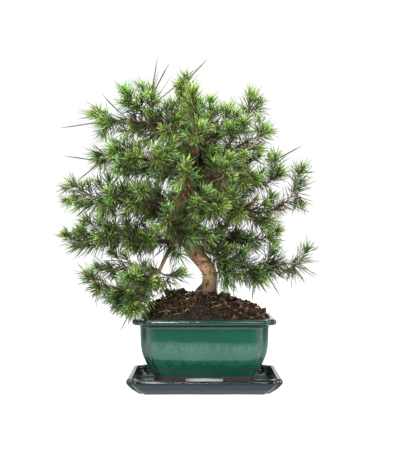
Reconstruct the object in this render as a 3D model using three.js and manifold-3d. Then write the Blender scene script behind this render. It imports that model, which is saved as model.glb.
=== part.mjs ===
// An Aleppo pine kept as a bonsai, in a glazed pot that stands in its drip tray.
// Millimetres, Z up. The origin is on the table under the middle of the tray, and the front faces -Y.
// The wood is one grown piece. Each leafy stem is a node of its own, a slim twig with its needles.

import * as THREE from 'three';
import { mergeVertices } from 'three/addons/utils/BufferGeometryUtils.js';
import Module from 'manifold-3d';

const wasm = await Module();
wasm.setup();

const v3 = (x, y, z) => new THREE.Vector3(x, y, z);
const point = (row) => v3(row[0], row[1], row[2]);

// Sizes that drive the rest

const GAP = 0.3;                 // air left between two pieces that touch on the real thing

const TRAY = {
  halfX: 111, halfY: 86, notch: 10, outer: 5, inner: 4,
  // [inset from the widest outline, height]
  profile: [
    [17, 0], [12.5, 3.2], [7.2, 7.4], [2.6, 13], [0, 20.6], [0.7, 21.9], [2.4, 22.4],
    [5.8, 22.2], [7.4, 20.5], [9.4, 13], [16, 8.6],
  ],
  mids: [0.4, 0, -0.4], rimFrom: 20, dip: 2, dipWidth: 42,
};

const POT = {
  halfX: 103, halfY: 78, notch: 13, outer: 5, inner: 4,
  profile: [
    [30.4, 8.9], [29.8, 21.8], [28.9, 24], [24.2, 32], [18.6, 42.5], [13.8, 57], [11.4, 76], [10.8, 94.6],
    [7.4, 96.4], [1.6, 98], [0, 101.4], [1, 104.3], [3.6, 105.6], [13, 105.6], [15.4, 103.4],
    [17, 66], [22, 42], [35, 27.6],
  ],
  // the hollow under the floor, which leaves the clay foot standing
  recess: { inset: 40, corner: 12, top: 20.6 },
  arch: { halfX: 30, halfY: 17, heightX: 11.4, heightY: 10, slope: 3 },
  drainX: 36, drainRadius: 7, drainSides: 12,
};

const DRAIN_MESH = { half: 12, thick: 1.2, holes: 3, hole: 4.4, pitch: 7 };

const SOIL = {
  peak: 137, edge: 102.4, peakX: -5, spreadX: 104, spreadY: 76, round: 1.3, grain: 1.6,
  walls: [42, 66, 100.4],        // heights of the rings down the pot's wall
  shares: [0.93, 0.78, 0.62, 0.45, 0.27],
  wallGap: 0.45, holeGap: 0.45,
};

const CHIPS = {
  count: 15, long: [6, 12], wide: [4, 7], thick: [3, 4.6], nearest: 24, farthest: 80, sunk: 0.2, tilt: 0.6,
};

// Bark stands in and out by a share of the radius, and five root lobes swell at the soil
const WOOD = {
  plates: 0.1, sides: 10, step: 12.5, branchSides: 5, branchStep: 27,
  lobes: 5, swell: 0.16, swellReach: 16,
};

// [x, y, z, radius] from the root stub to the leader
const TRUNK = [
  [4, 0, 94, 12], [4, 0, 114, 15], [3, 0, 127, 17.5], [4, 0, 137, 14.4], [6, 0, 150, 10.4],
  [6, 0, 167, 9.8], [-1, 1, 181, 10], [-12, 2, 193, 9.8], [-21, 4, 205, 9.3], [-28, 5, 221, 8.8],
  [-32, 5, 239, 8.4], [-31, 4, 259, 7.8], [-26, 0, 278, 7.2], [-15, -4, 297, 6.6], [-5, -6, 318, 6],
  [-2, -4, 340, 5.4], [-6, 2, 363, 4.6], [-15, 6, 384, 3.9], [-24, 6, 405, 3.2], [-27, 4, 424, 2.4],
];

// Branches, from inside the trunk outwards: where they run and how thick they start and end
const BRANCHES = {
  low_left: { thick: [5, 2.2], run: [
    [-29, 5, 232], [-42, -2, 218], [-55, -10, 198], [-68, -18, 171], [-84, -28, 155], [-108, -38, 147],
    [-128, -44, 146]] },
  low_left_upper: { thick: [3, 2], run: [[-68, -18, 171], [-95, -8, 175], [-120, 2, 176]] },
  left: { thick: [5, 2.2], run: [
    [-29, 5, 226], [-44, 4, 219], [-66, 8, 217], [-97, 14, 220], [-127, 16, 220], [-148, 14, 218]] },
  mid_left: { thick: [4.6, 2.2], run: [
    [-30, 4, 254], [-58, -8, 266], [-87, -16, 271], [-117, -18, 276], [-148, -14, 279]] },
  up_left: { thick: [4.2, 2], run: [
    [-11, -4, 305], [-36, -16, 321], [-65, -26, 330], [-94, -30, 338], [-122, -28, 343]] },
  high_left: { thick: [3.6, 2], run: [
    [-3, 0, 350], [-29, 8, 370], [-59, 16, 384], [-85, 20, 393], [-109, 20, 399]] },
  high_right: { thick: [3.2, 1.9], run: [[-6, 2, 360], [16, 6, 377], [38, 6, 387], [59, 2, 396]] },
  up_right: { thick: [3.8, 1.9], run: [[-3, -5, 330], [23, -20, 342], [46, -30, 353], [61, -34, 361]] },
  mid_right: { thick: [4, 2], run: [[-9, -4, 306], [16, 4, 309], [46, 12, 310], [69, 16, 309], [87, 16, 306]] },
  right: { thick: [4.6, 2], run: [
    [-26, 0, 273], [1, -10, 273], [30, -18, 268], [60, -22, 264], [80, -22, 259], [101, -24, 262],
    [114, -25, 271]] },
  low_right: {
    thick: [4.4, 2], run: [[-27, 5, 233], [-6, 12, 229], [24, 20, 221], [54, 24, 215], [77, 24, 218]],
  },
  lowest_right: { thick: [4.4, 1.9], run: [
    [-22, 5, 216], [-2, -4, 206], [23, -12, 192], [50, -16, 182], [84, -22, 179], [103, -26, 184]] },
  front_low: { thick: [3.8, 2], run: [[-29, 5, 239], [-35, -25, 236], [-42, -55, 238], [-46, -80, 242]] },
  front_mid: { thick: [3.6, 1.9], run: [[-24, 0, 283], [-22, -30, 288], [-24, -60, 298], [-26, -85, 305]] },
  front_centre: { thick: [3.6, 1.9], run: [[-27, 0, 272], [-18, -40, 264], [-13, -75, 262]] },
  front_right: { thick: [3.4, 1.9], run: [[-9, -4, 305], [5, -30, 304], [18, -58, 305], [25, -78, 308]] },
  front_high: { thick: [3.2, 1.8], run: [[-2, -4, 344], [-6, -30, 352], [-10, -55, 359]] },
  back_low: { thick: [3.8, 2], run: [[-28, 5, 244], [-25, 35, 243], [-20, 70, 246], [-18, 95, 250]] },
  back_left: { thick: [3.6, 1.9], run: [[-30, 4, 262], [-55, 30, 268], [-80, 55, 274], [-98, 72, 278]] },
  back_right: { thick: [3.6, 1.9], run: [[-22, 0, 286], [10, 35, 280], [38, 60, 272], [55, 75, 270]] },
  back_mid: { thick: [3.6, 1.9], run: [[-14, -4, 299], [-10, 30, 304], [-3, 62, 308], [0, 85, 311]] },
  back_high: { thick: [3.2, 1.8], run: [[-3, -4, 341], [-12, 30, 352], [-20, 58, 362]] },
};

// Leafy stems. Each row leaves its branch at the share `at` of its length. A stem is the list of
// points that it passes on its way to its tip. The first is the leader, and the rest fork from it.
// The last point is where its needles end. `long` gives the leader grown-up needles of that length.
const SPRAYS = [
  { on: 'trunk', at: 1, stems: [[[-27, 5, 466]], [[-34, 22, 452]]], long: 30 },
  { on: 'trunk', at: 0.86, stems: [[[-16, -22, 396], [-14, -50, 426]]] },
  { on: 'high_left', at: 1, stems: [[[-140, 22, 399], [-176, 20, 412]], [[-157, 0, 374]]], long: 32 },
  { on: 'high_left', at: 0.84, stems: [[[-104, 14, 420], [-125, 10, 452]], [[-128, 38, 432]]] },
  { on: 'high_left', at: 0.7, stems: [[[-78, 8, 415], [-80, 0, 442]], [[-97, 26, 459]]], long: 54 },
  { on: 'high_left', at: 0.4, stems: [[[-50, -30, 374], [-59, -75, 376]], [[-36, -55, 398]]] },
  { on: 'high_left', at: 0.55, stems: [[[-66, 45, 396], [-78, 76, 412]], [[-104, 62, 392]]] },
  { on: 'high_right', at: 0.45, stems: [[[9, 0, 408], [10, -5, 436]], [[24, 14, 418]]] },
  { on: 'high_right', at: 0.75, stems: [[[38, 22, 405], [38, 30, 428]], [[52, 40, 392]]] },
  { on: 'high_right', at: 1, stems: [[[66, 1, 415], [73, 0, 445]], [[88, 20, 418]]], long: 34 },
  { on: 'up_right', at: 1, stems: [[[75, -38, 368], [98, -40, 384]], [[90, -16, 392]]] },
  { on: 'up_right', at: 0.7, stems: [[[50, -46, 374], [58, -60, 396]], [[28, -70, 382]]] },
  { on: 'mid_right', at: 0.8, stems: [[[66, 14, 334], [90, 10, 360]], [[62, 36, 352]]] },
  { on: 'mid_right', at: 1, stems: [[[104, 10, 312], [120, 2, 324]], [[111, 30, 354]]], long: 30 },
  { on: 'mid_right', at: 0.62, stems: [[[52, -35, 304], [60, -74, 301]], [[80, -52, 312]]] },
  { on: 'mid_right', at: 0.5, stems: [[[48, 48, 318], [66, 78, 326]], [[86, 62, 306]]] },
  { on: 'right', at: 1, stems: [[[133, -26, 292], [139, -25, 330]], [[148, -12, 268]]], long: 34 },
  { on: 'right', at: 0.64, stems: [[[84, -40, 246], [92, -62, 240]], [[104, 4, 246]]] },
  { on: 'right', at: 0.3, stems: [[[10, -62, 268], [23, -116, 264]], [[-4, -92, 250]]] },
  { on: 'right', at: 0.45, stems: [[[42, -60, 262], [50, -98, 256]], [[40, -88, 290]]] },
  { on: 'low_right', at: 1, stems: [[[98, 22, 226], [117, 20, 238]], [[111, 40, 212]]], long: 28 },
  { on: 'low_right', at: 0.7, stems: [[[52, 52, 220], [66, 82, 224]], [[88, 62, 206]]] },
  { on: 'lowest_right', at: 1, stems: [[[136, -30, 184], [154, -30, 214]], [[134, -10, 170]]] },
  { on: 'lowest_right', at: 0.62, stems: [[[64, -40, 172], [52, -76, 170]], [[92, -52, 164]]], long: 32 },
  { on: 'lowest_right', at: 0.4, stems: [[[30, -32, 168], [34, -42, 148]], [[6, -30, 158]]], long: 26 },
  { on: 'lowest_right', at: 0.5, stems: [[[46, -38, 196], [56, -60, 206]]] },
  { on: 'low_left', at: 1, stems: [[[-156, -42, 158], [-177, -40, 177]], [[-154, -60, 140]]] },
  { on: 'low_left', at: 0.86, stems: [[[-122, -54, 140], [-134, -62, 128]], [[-96, -84, 128]]], long: 30 },
  { on: 'low_left', at: 0.66, stems: [[[-94, -62, 160], [-113, -95, 168]], [[-78, -74, 148]]], long: 28 },
  { on: 'low_left', at: 0.5, stems: [[[-45, -28, 165], [-25, -34, 173]], [[-64, -2, 144]]] },
  { on: 'low_left_upper', at: 1, stems: [[[-146, 6, 174], [-167, 10, 183]], [[-140, 40, 172]]] },
  { on: 'left', at: 1, stems: [[[-190, 12, 217], [-216, 10, 231]], [[-188, 34, 240]]] },
  { on: 'left', at: 0.8, stems: [[[-138, -26, 222], [-156, -60, 222]], [[-130, -60, 238]]] },
  { on: 'left', at: 0.55, stems: [[[-94, -32, 214], [-112, -74, 212]], [[-80, -64, 226]]] },
  { on: 'left', at: 0.66, stems: [[[-112, 52, 222], [-128, 84, 230]], [[-96, 80, 212]]] },
  { on: 'mid_left', at: 1, stems: [[[-178, -12, 290], [-203, -10, 308]], [[-200, -32, 275]]] },
  { on: 'mid_left', at: 0.75, stems: [[[-124, -50, 276], [-134, -82, 280]], [[-152, -62, 256]]] },
  { on: 'mid_left', at: 0.5, stems: [[[-86, -64, 280], [-87, -116, 292]], [[-106, -96, 268]]] },
  { on: 'up_left', at: 1, stems: [[[-144, -28, 343], [-166, -30, 346]], [[-158, -8, 330]]], long: 34 },
  { on: 'up_left', at: 0.78, stems: [[[-108, -58, 326], [-128, -86, 318]], [[-94, -92, 338]]] },
  { on: 'up_left', at: 0.42, stems: [[[-60, -66, 330], [-67, -112, 336]], [[-48, -92, 350]]] },
  { on: 'front_low', at: 1, stems: [[[-49, -98, 246], [-51, -118, 250]], [[-72, -104, 234]]] },
  { on: 'front_low', at: 0.6, stems: [[[-22, -74, 226], [-16, -94, 220]], [[14, -92, 224]]] },
  { on: 'front_mid', at: 1, stems: [[[-27, -105, 311], [-28, -124, 317]], [[-42, -104, 288]]] },
  { on: 'front_centre', at: 1, stems: [[[-10, -102, 264], [-12, -122, 266]], [[4, -124, 290]]] },
  { on: 'front_right', at: 1, stems: [[[28, -98, 314], [30, -114, 328]], [[48, -90, 340]]] },
  { on: 'front_high', at: 1, stems: [[[-11, -82, 364], [-11, -106, 362]], [[-2, -84, 388]]] },
  { on: 'back_low', at: 1, stems: [[[-18, 112, 253], [-20, 132, 258]], [[-52, 112, 238]]] },
  { on: 'back_left', at: 1, stems: [[[-114, 82, 282], [-130, 94, 290]], [[-98, 108, 304]]] },
  { on: 'back_left', at: 0.55, stems: [[[-62, 68, 258], [-62, 98, 252]], [[-84, 66, 300]]] },
  { on: 'back_right', at: 1, stems: [[[66, 88, 272], [78, 104, 278]], [[42, 114, 258]]] },
  { on: 'back_mid', at: 1, stems: [[[0, 108, 316], [2, 128, 320]], [[34, 104, 332]]] },
  { on: 'back_mid', at: 0.55, stems: [[[18, 62, 296], [40, 84, 298]], [[32, 68, 330]]] },
  { on: 'back_high', at: 1, stems: [[[-25, 86, 374], [-30, 112, 388]], [[8, 90, 382]]] },
];

const STEM = {
  root: 1.45, tip: 1.0, whorl: 1.25, spacing: 8.1, bare: 13, forkBare: 8, leafy: 58, twist: 0.66,
  tuft: 11,                      // how far the last needles reach past the end of the twig
  off: 0.45,                     // air between the bark and the foot of a leader
  straight: 6.5,                 // how far a leader runs straight out of its branch
  forkAt: 0.38,
};

const NEEDLE = {
  lean: [1.12, 0.52],            // angle to the stem in radians, low down and at the tip
  length: [21, 24, 15],          // low down, in the middle and at the tip of a stem
  longShare: 0.45,               // share of a leader's needles that are grown-up ones, where it has any
  foot: 0.85, point: 0.05,       // radius at each end, used to keep needles apart
  pairLean: 0.09, pairSpread: 0.42, sway: 0.16,
  tries: [1, 1, 1, 0.9, 0.8, 0.7, 0.55],
  room: 0.45, overSoil: 7,
};

// Colours

const GLAZE = 0x3f7a63;
const TRAY_GLAZE = 0x3d5560;
const SOIL_BROWN = 0x4a3728;
const BARK = 0x7a6553;
const MESH_BLACK = 0x1d1f20;
const NEEDLE_GREENS = [0x4f7448, 0x5a7d4c, 0x66884f, 0x47694a, 0x6f9150];

// A seeded draw between 0 and 1, the same on each build
function draws(seed) {
  let state = seed >>> 0;
  return () => {
    state = (state + 0x6d2b79f5) >>> 0;
    let t = state;
    t = Math.imul(t ^ (t >>> 15), t | 1);
    t ^= t + Math.imul(t ^ (t >>> 7), t | 61);
    return ((t ^ (t >>> 14)) >>> 0) / 4294967296;
  };
}

// A closed solid through a row of rings that have the same number of points, with a flat fan at each end
function loft(rings) {
  const count = rings[0].length;
  const spots = [];
  const faces = [];
  rings.forEach((ring) => ring.forEach((p) => spots.push(p.x, p.y, p.z)));
  for (let i = 0; i + 1 < rings.length; i += 1) {
    for (let j = 0; j < count; j += 1) {
      const a = i * count + j;
      const b = i * count + (j + 1) % count;
      faces.push(a, b, b + count, a, b + count, a + count);
    }
  }
  const fan = (ring, first, turn) => {
    const middle = ring.reduce((sum, p) => sum.add(p), v3(0, 0, 0)).divideScalar(count);
    const centre = spots.length / 3;
    spots.push(middle.x, middle.y, middle.z);
    for (let j = 0; j < count; j += 1) {
      const a = first + j;
      const b = first + (j + 1) % count;
      faces.push(centre, turn ? b : a, turn ? a : b);
    }
  };
  fan(rings[0], 0, true);
  fan(rings[rings.length - 1], (rings.length - 1) * count, false);
  return indexed(spots, faces);
}

function indexed(spots, faces) {
  const geometry = new THREE.BufferGeometry();
  geometry.setAttribute('position', new THREE.Float32BufferAttribute(spots, 3));
  geometry.setIndex(faces);
  return geometry;
}

function solid(geometry) {
  const bare = geometry.clone();
  bare.deleteAttribute('normal');
  bare.deleteAttribute('uv');
  const closed = mergeVertices(bare, 1e-5);
  return new wasm.Manifold(new wasm.Mesh({
    numProp: 3,
    vertProperties: new Float32Array(closed.attributes.position.array),
    triVerts: new Uint32Array(closed.index.array),
  }));
}

const model = new THREE.Group();
model.name = 'aleppo_pine_bonsai';

function keep(name, body, colour, roughness) {
  const cut = body.getMesh();
  const geometry = indexed(Array.from(cut.vertProperties), Array.from(cut.triVerts)).toNonIndexed();
  geometry.computeVertexNormals();
  const mesh = new THREE.Mesh(geometry, new THREE.MeshStandardMaterial({ color: colour, roughness }));
  mesh.name = name;
  model.add(mesh);
}

// Clay ware: the outline is a rectangle with a step cut into each corner

function arc(x, y, radius, from, to, steps) {
  const out = [];
  for (let i = 0; i <= steps; i += 1) {
    const angle = THREE.MathUtils.degToRad(from + (to - from) * i / steps);
    out.push([x + radius * Math.cos(angle), y + radius * Math.sin(angle)]);
  }
  return out;
}

function notched({ notch, outer, inner }, halfX, halfY, mids, steps) {
  const corner = [
    ...arc(halfX - outer, halfY - notch - outer, outer, 0, 90, steps),
    ...arc(halfX - notch + inner, halfY - notch + inner, inner, 270, 180, 1),
    ...arc(halfX - notch - outer, halfY - outer, outer, 0, 90, steps),
  ];
  const half = [...corner];
  mids.forEach((share) => half.push([share * halfX, halfY]));
  corner.slice().reverse().forEach(([x, y]) => half.push([-x, y]));
  const back = half.map(([x, y]) => [-x, -y]);
  return [...half, ...back];
}

function wareRing(ware, inset, z, mids = [], steps = 2) {
  return notched(ware, ware.halfX - inset, ware.halfY - inset, mids, steps).map(([x, y]) => v3(x, y, z));
}

function upright(outline, bottom, top) {
  return loft([outline.map((p) => v3(p.x, p.y, bottom)), outline.map((p) => v3(p.x, p.y, top))]);
}

function round(x, y, radius, sides) {
  const out = [];
  for (let i = 0; i < sides; i += 1) {
    const angle = 2 * Math.PI * i / sides;
    out.push(v3(x + radius * Math.cos(angle), y + radius * Math.sin(angle), 0));
  }
  return out;
}

function square(x, y, half) {
  const signs = [[1, -1], [1, 1], [-1, 1], [-1, -1]];
  return signs.map(([sx, sy]) => v3(x + sx * half, y + sy * half, 0));
}

// The drip tray. Its front rim sags a little in the middle, as the hand-pressed clay does.
const trayRings = TRAY.profile.map(([inset, z]) => {
  const ring = wareRing(TRAY, inset, z, TRAY.mids);
  ring.filter((p) => z > TRAY.rimFrom && p.y < 0).forEach((p) => {
    p.z -= TRAY.dip * Math.exp(-((p.x / TRAY.dipWidth) ** 2));
  });
  return ring;
});
keep('drip_tray', solid(loft(trayRings)), TRAY_GLAZE, 0.3);

// The pot, with the hollow under its floor, an arched gap in each side of the foot and two drain holes
const potFloor = POT.profile[POT.profile.length - 1][1];
const footBottom = POT.profile[0][1];
let pot = solid(loft(POT.profile.map(([inset, z]) => wareRing(POT, inset, z))));
const hollowX = POT.halfX - POT.recess.inset;
const hollowY = POT.halfY - POT.recess.inset;
const hollow = [1, -1].flatMap((side) => [
  v3(side * hollowX, side * (POT.recess.corner - hollowY), 0),
  v3(side * hollowX, side * (hollowY - POT.recess.corner), 0),
  v3(side * (hollowX - POT.recess.corner), side * hollowY, 0),
  v3(side * (POT.recess.corner - hollowX), side * hollowY, 0),
]);
pot = pot.subtract(solid(upright(hollow, footBottom - 1, POT.recess.top)));

function arch(half, height, length, alongX) {
  const side = [
    [-half, footBottom - 1], [half, footBottom - 1],
    [half - POT.arch.slope, footBottom + height], [POT.arch.slope - half, footBottom + height]];
  const ring = (far) => side.map(([u, z]) => (alongX ? v3(far, u, z) : v3(-u, far, z)));
  return solid(loft([ring(-length), ring(length)]));
}
pot = pot.subtract(arch(POT.arch.halfX, POT.arch.heightX, POT.halfY, false));
pot = pot.subtract(arch(POT.arch.halfY, POT.arch.heightY, POT.halfX, true));
[-1, 1].forEach((side) => {
  const hole = round(side * POT.drainX, 0, POT.drainRadius, POT.drainSides);
  pot = pot.subtract(solid(upright(hole, footBottom, potFloor + 2)));
});
keep('pot', pot, GLAZE, 0.25);

// A square of plastic mesh lies over each drain hole
[['left', -1], ['right', 1]].forEach(([place, side]) => {
  const x = side * POT.drainX;
  const z = potFloor + GAP;
  let sheet = solid(upright(square(x, 0, DRAIN_MESH.half), z, z + DRAIN_MESH.thick));
  for (let i = 0; i < DRAIN_MESH.holes; i += 1) {
    for (let j = 0; j < DRAIN_MESH.holes; j += 1) {
      const shift = (DRAIN_MESH.holes - 1) / 2;
      const [holeX, holeY] = [x + (i - shift) * DRAIN_MESH.pitch, (j - shift) * DRAIN_MESH.pitch];
      const hole = square(holeX, holeY, DRAIN_MESH.hole / 2);
      sheet = sheet.subtract(solid(upright(hole, z - 1, z + DRAIN_MESH.thick + 1)));
    }
  }
  keep(`drain_mesh_${place}`, sheet, MESH_BLACK, 0.6);
});

// Wood: tapered tubes along smooth curves, rough as bark, joined into one body

class Spine {
  constructor(points) {
    const curve = new THREE.CatmullRomCurve3(points, false, 'centripetal');
    this.length = curve.getLength();
    this.steps = Math.max(8, Math.ceil(this.length / 1.5));
    this.spots = curve.getSpacedPoints(this.steps);
    this.ways = this.spots.map((p, i) => {
      const before = this.spots[Math.max(0, i - 1)];
      const after = this.spots[Math.min(this.steps, i + 1)];
      return after.clone().sub(before).normalize();
    });
    // each side vector is the last one, swung as little as it can be
    const start = Math.abs(this.ways[0].z) < 0.9 ? v3(0, 0, 1) : v3(1, 0, 0);
    let side = start.sub(this.ways[0].clone().multiplyScalar(start.dot(this.ways[0]))).normalize();
    this.sides = this.ways.map((way) => {
      side = side.clone().sub(way.clone().multiplyScalar(side.dot(way))).normalize();
      return side;
    });
  }

  at(distance) {
    const place = THREE.MathUtils.clamp(distance / this.length, 0, 1) * this.steps;
    const i = Math.min(this.steps - 1, Math.floor(place));
    const share = place - i;
    const way = this.ways[i].clone().lerp(this.ways[i + 1], share).normalize();
    const side = this.sides[i].clone().lerp(this.sides[i + 1], share);
    side.sub(way.clone().multiplyScalar(side.dot(way))).normalize();
    return {
      p: this.spots[i].clone().lerp(this.spots[i + 1], share), way, side, third: way.clone().cross(side),
    };
  }

  ring(distance, radius, sides, turn = 0, rough = () => 1) {
    const here = this.at(distance);
    const out = [];
    for (let j = 0; j < sides; j += 1) {
      const angle = turn + 2 * Math.PI * j / sides;
      const r = radius * rough(j);
      out.push(here.p.clone().addScaledVector(here.side, r * Math.cos(angle))
        .addScaledVector(here.third, r * Math.sin(angle)));
    }
    return out;
  }
}

const trunkSpine = new Spine(TRUNK.map(point));

// How far along the trunk each row of its table lies, so that the radius follows the table
const trunkMarks = TRUNK.map((row) => {
  let best = 0;
  trunkSpine.spots.forEach((p, i) => {
    if (p.distanceTo(point(row)) < trunkSpine.spots[best].distanceTo(point(row))) {
      best = i;
    }
  });
  return best / trunkSpine.steps * trunkSpine.length;
});

function trunkRadius(distance) {
  let i = 0;
  while (i < TRUNK.length - 2 && distance > trunkMarks[i + 1]) {
    i += 1;
  }
  const share = THREE.MathUtils.clamp((distance - trunkMarks[i]) / (trunkMarks[i + 1] - trunkMarks[i]), 0, 1);
  return THREE.MathUtils.lerp(TRUNK[i][3], TRUNK[i + 1][3], share);
}

const barkDraw = draws(41);
const bark = () => 1 + WOOD.plates * (2 * barkDraw() - 1);

const trunkRings = [];
const trunkCount = Math.ceil(trunkSpine.length / WOOD.step);
for (let i = 0; i <= trunkCount; i += 1) {
  const distance = trunkSpine.length * i / trunkCount;
  const swell = WOOD.swell * Math.exp(-(((distance - trunkMarks[2]) / WOOD.swellReach) ** 2));
  const rough = (j) => bark() + swell * Math.cos(WOOD.lobes * 2 * Math.PI * j / WOOD.sides);
  trunkRings.push(trunkSpine.ring(distance, trunkRadius(distance), WOOD.sides, i * 0.12, rough));
}
let wood = solid(loft(trunkRings));

// What later pieces keep clear of: straight bits of wood, stem or needle with a radius at each end
const taken = [];
const spines = { trunk: { spine: trunkSpine, radius: trunkRadius } };

function take(owner, spine, radius, step, length = spine.length) {
  const count = Math.ceil(length / step);
  for (let i = 0; i < count; i += 1) {
    const a = length * i / count;
    const b = length * (i + 1) / count;
    taken.push({ owner, a: spine.at(a).p, b: spine.at(b).p, ra: radius(a), rb: radius(b) });
  }
}
take('wood', trunkSpine, (s) => trunkRadius(s) * (1 + WOOD.plates), WOOD.step);

Object.entries(BRANCHES).forEach(([name, { thick, run }]) => {
  const spine = new Spine(run.map(point));
  const radius = (s) => THREE.MathUtils.lerp(thick[0], thick[1], (s / spine.length) ** 0.8);
  const count = Math.ceil(spine.length / WOOD.branchStep);
  const rings = [];
  for (let i = 0; i <= count; i += 1) {
    const distance = spine.length * i / count;
    rings.push(spine.ring(distance, radius(distance), WOOD.branchSides, i * 0.2, bark));
  }
  wood = wood.add(solid(loft(rings)));
  spines[name] = { spine, radius };
  take('wood', spine, (s) => radius(s) * (1 + WOOD.plates), WOOD.branchStep / 2);
});
keep('trunk_and_branches', wood, BARK, 0.9);

// Soil: a mound up to the trunk, fine lumps all over it and bark chips pressed in

function soilHeight(x, y) {
  const away = ((x - SOIL.peakX) / SOIL.spreadX) ** 2 + (y / SOIL.spreadY) ** 2;
  return SOIL.edge + (SOIL.peak - SOIL.edge) * Math.max(0, 1 - away ** SOIL.round);
}

const soilDraw = draws(7);
const grain = () => SOIL.grain * (2 * soilDraw() - 1);

// The pot's inner wall: how far in it stands at a height
const innerWall = POT.profile.slice(-4);
function wallInset(z) {
  let i = 0;
  while (i < innerWall.length - 2 && z < innerWall[i + 1][1]) {
    i += 1;
  }
  const share = (innerWall[i][1] - z) / (innerWall[i][1] - innerWall[i + 1][1]);
  return THREE.MathUtils.lerp(innerWall[i][0], innerWall[i + 1][0], share);
}

const soilEdge = (z) => wareRing(POT, wallInset(z) + SOIL.wallGap, z, [], 1);
const soilTop = SOIL.shares.map((share) => soilEdge(SOIL.edge).map((p) => {
  const x = p.x * share + (1 - share) * SOIL.peakX + grain();
  const y = p.y * share + grain();
  return v3(x, y, soilHeight(x, y) + grain());
}));
const mound = loft([soilEdge(potFloor + GAP), ...SOIL.walls.map(soilEdge), ...soilTop]);
let soil = solid(mound);

const GOLDEN_TURN = Math.PI * (3 - Math.sqrt(5));
const between = ([low, high]) => THREE.MathUtils.lerp(low, high, soilDraw());
const surface = new THREE.Mesh(mound, new THREE.MeshStandardMaterial());
const above = new THREE.Raycaster();
for (let i = 0; i < CHIPS.count; i += 1) {
  const angle = i * GOLDEN_TURN + soilDraw();
  const reach = THREE.MathUtils.lerp(CHIPS.nearest, CHIPS.farthest, Math.sqrt((i + 0.5) / CHIPS.count));
  const x = SOIL.peakX + reach * Math.cos(angle) * 0.94;
  const y = reach * Math.sin(angle) * 0.66;
  above.set(v3(x, y, SOIL.peak + 50), v3(0, 0, -1));
  const chip = new THREE.BoxGeometry(between(CHIPS.long), between(CHIPS.wide), between(CHIPS.thick));
  chip.rotateX(CHIPS.tilt * (soilDraw() - 0.5));
  chip.rotateY(CHIPS.tilt * (soilDraw() - 0.5));
  chip.rotateZ(2 * Math.PI * soilDraw());
  chip.translate(x, y, above.intersectObject(surface)[0].point.z - CHIPS.sunk);
  soil = soil.add(solid(chip));
}

// The trunk stands in a plain hole, and each drain mesh lies in a pocket
const holeRings = trunkRings.slice(0, 6).map((ring) => {
  const middle = ring.reduce((sum, p) => sum.add(p), v3(0, 0, 0)).divideScalar(ring.length);
  return ring.map((p) => p.clone().addScaledVector(p.clone().sub(middle).normalize(), SOIL.holeGap));
});
holeRings[0].forEach((p) => p.setZ(p.z - SOIL.holeGap));
soil = soil.subtract(solid(loft(holeRings)));
[-1, 1].forEach((side) => {
  const pocket = square(side * POT.drainX, 0, DRAIN_MESH.half + GAP);
  soil = soil.subtract(solid(upright(pocket, potFloor - 1, potFloor + 2 * GAP + DRAIN_MESH.thick)));
});
keep('soil', soil, SOIL_BROWN, 0.95);

// Needles

function closest(p1, q1, p2, q2) {
  const d1 = q1.clone().sub(p1);
  const d2 = q2.clone().sub(p2);
  const r = p1.clone().sub(p2);
  const a = d1.lengthSq();
  const e = d2.lengthSq();
  const b = d1.dot(d2);
  const c = d1.dot(r);
  const f = d2.dot(r);
  const span = a * e - b * b;
  let s = span > 1e-9 ? THREE.MathUtils.clamp((b * f - c * e) / span, 0, 1) : 0;
  const t = THREE.MathUtils.clamp((b * s + f) / e, 0, 1);
  s = THREE.MathUtils.clamp((b * t - c) / a, 0, 1);
  const near = p1.clone().addScaledVector(d1, s).sub(p2.clone().addScaledVector(d2, t));
  return [near.length(), s, t];
}

// True where a bit of the plant, thick `ra` and `rb` at its ends, stays off all that is already there
function clear(owner, a, b, ra, rb, room) {
  const middle = a.clone().add(b).multiplyScalar(0.5);
  const reach = a.distanceTo(b) / 2;
  for (let i = 0; i <= 4; i += 1) {
    const p = a.clone().lerp(b, i / 4);
    const overPot = Math.abs(p.x) < POT.halfX && Math.abs(p.y) < POT.halfY;
    if (overPot && p.z < soilHeight(p.x, p.y) + NEEDLE.overSoil) {
      return false;
    }
  }
  return taken.every((bit) => {
    if (bit.owner === owner) {
      return true;
    }
    const far = bit.a.distanceTo(bit.b) / 2 + reach + ra + bit.ra + room;
    const [gapX, gapZ] = [(bit.a.x + bit.b.x) / 2 - middle.x, (bit.a.z + bit.b.z) / 2 - middle.z];
    if (Math.abs(gapX) > far || Math.abs(gapZ) > far) {
      return true;
    }
    const [gap, s, t] = closest(a, b, bit.a, bit.b);
    return gap - THREE.MathUtils.lerp(ra, rb, s) - THREE.MathUtils.lerp(bit.ra, bit.rb, t) > room;
  });
}

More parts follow.
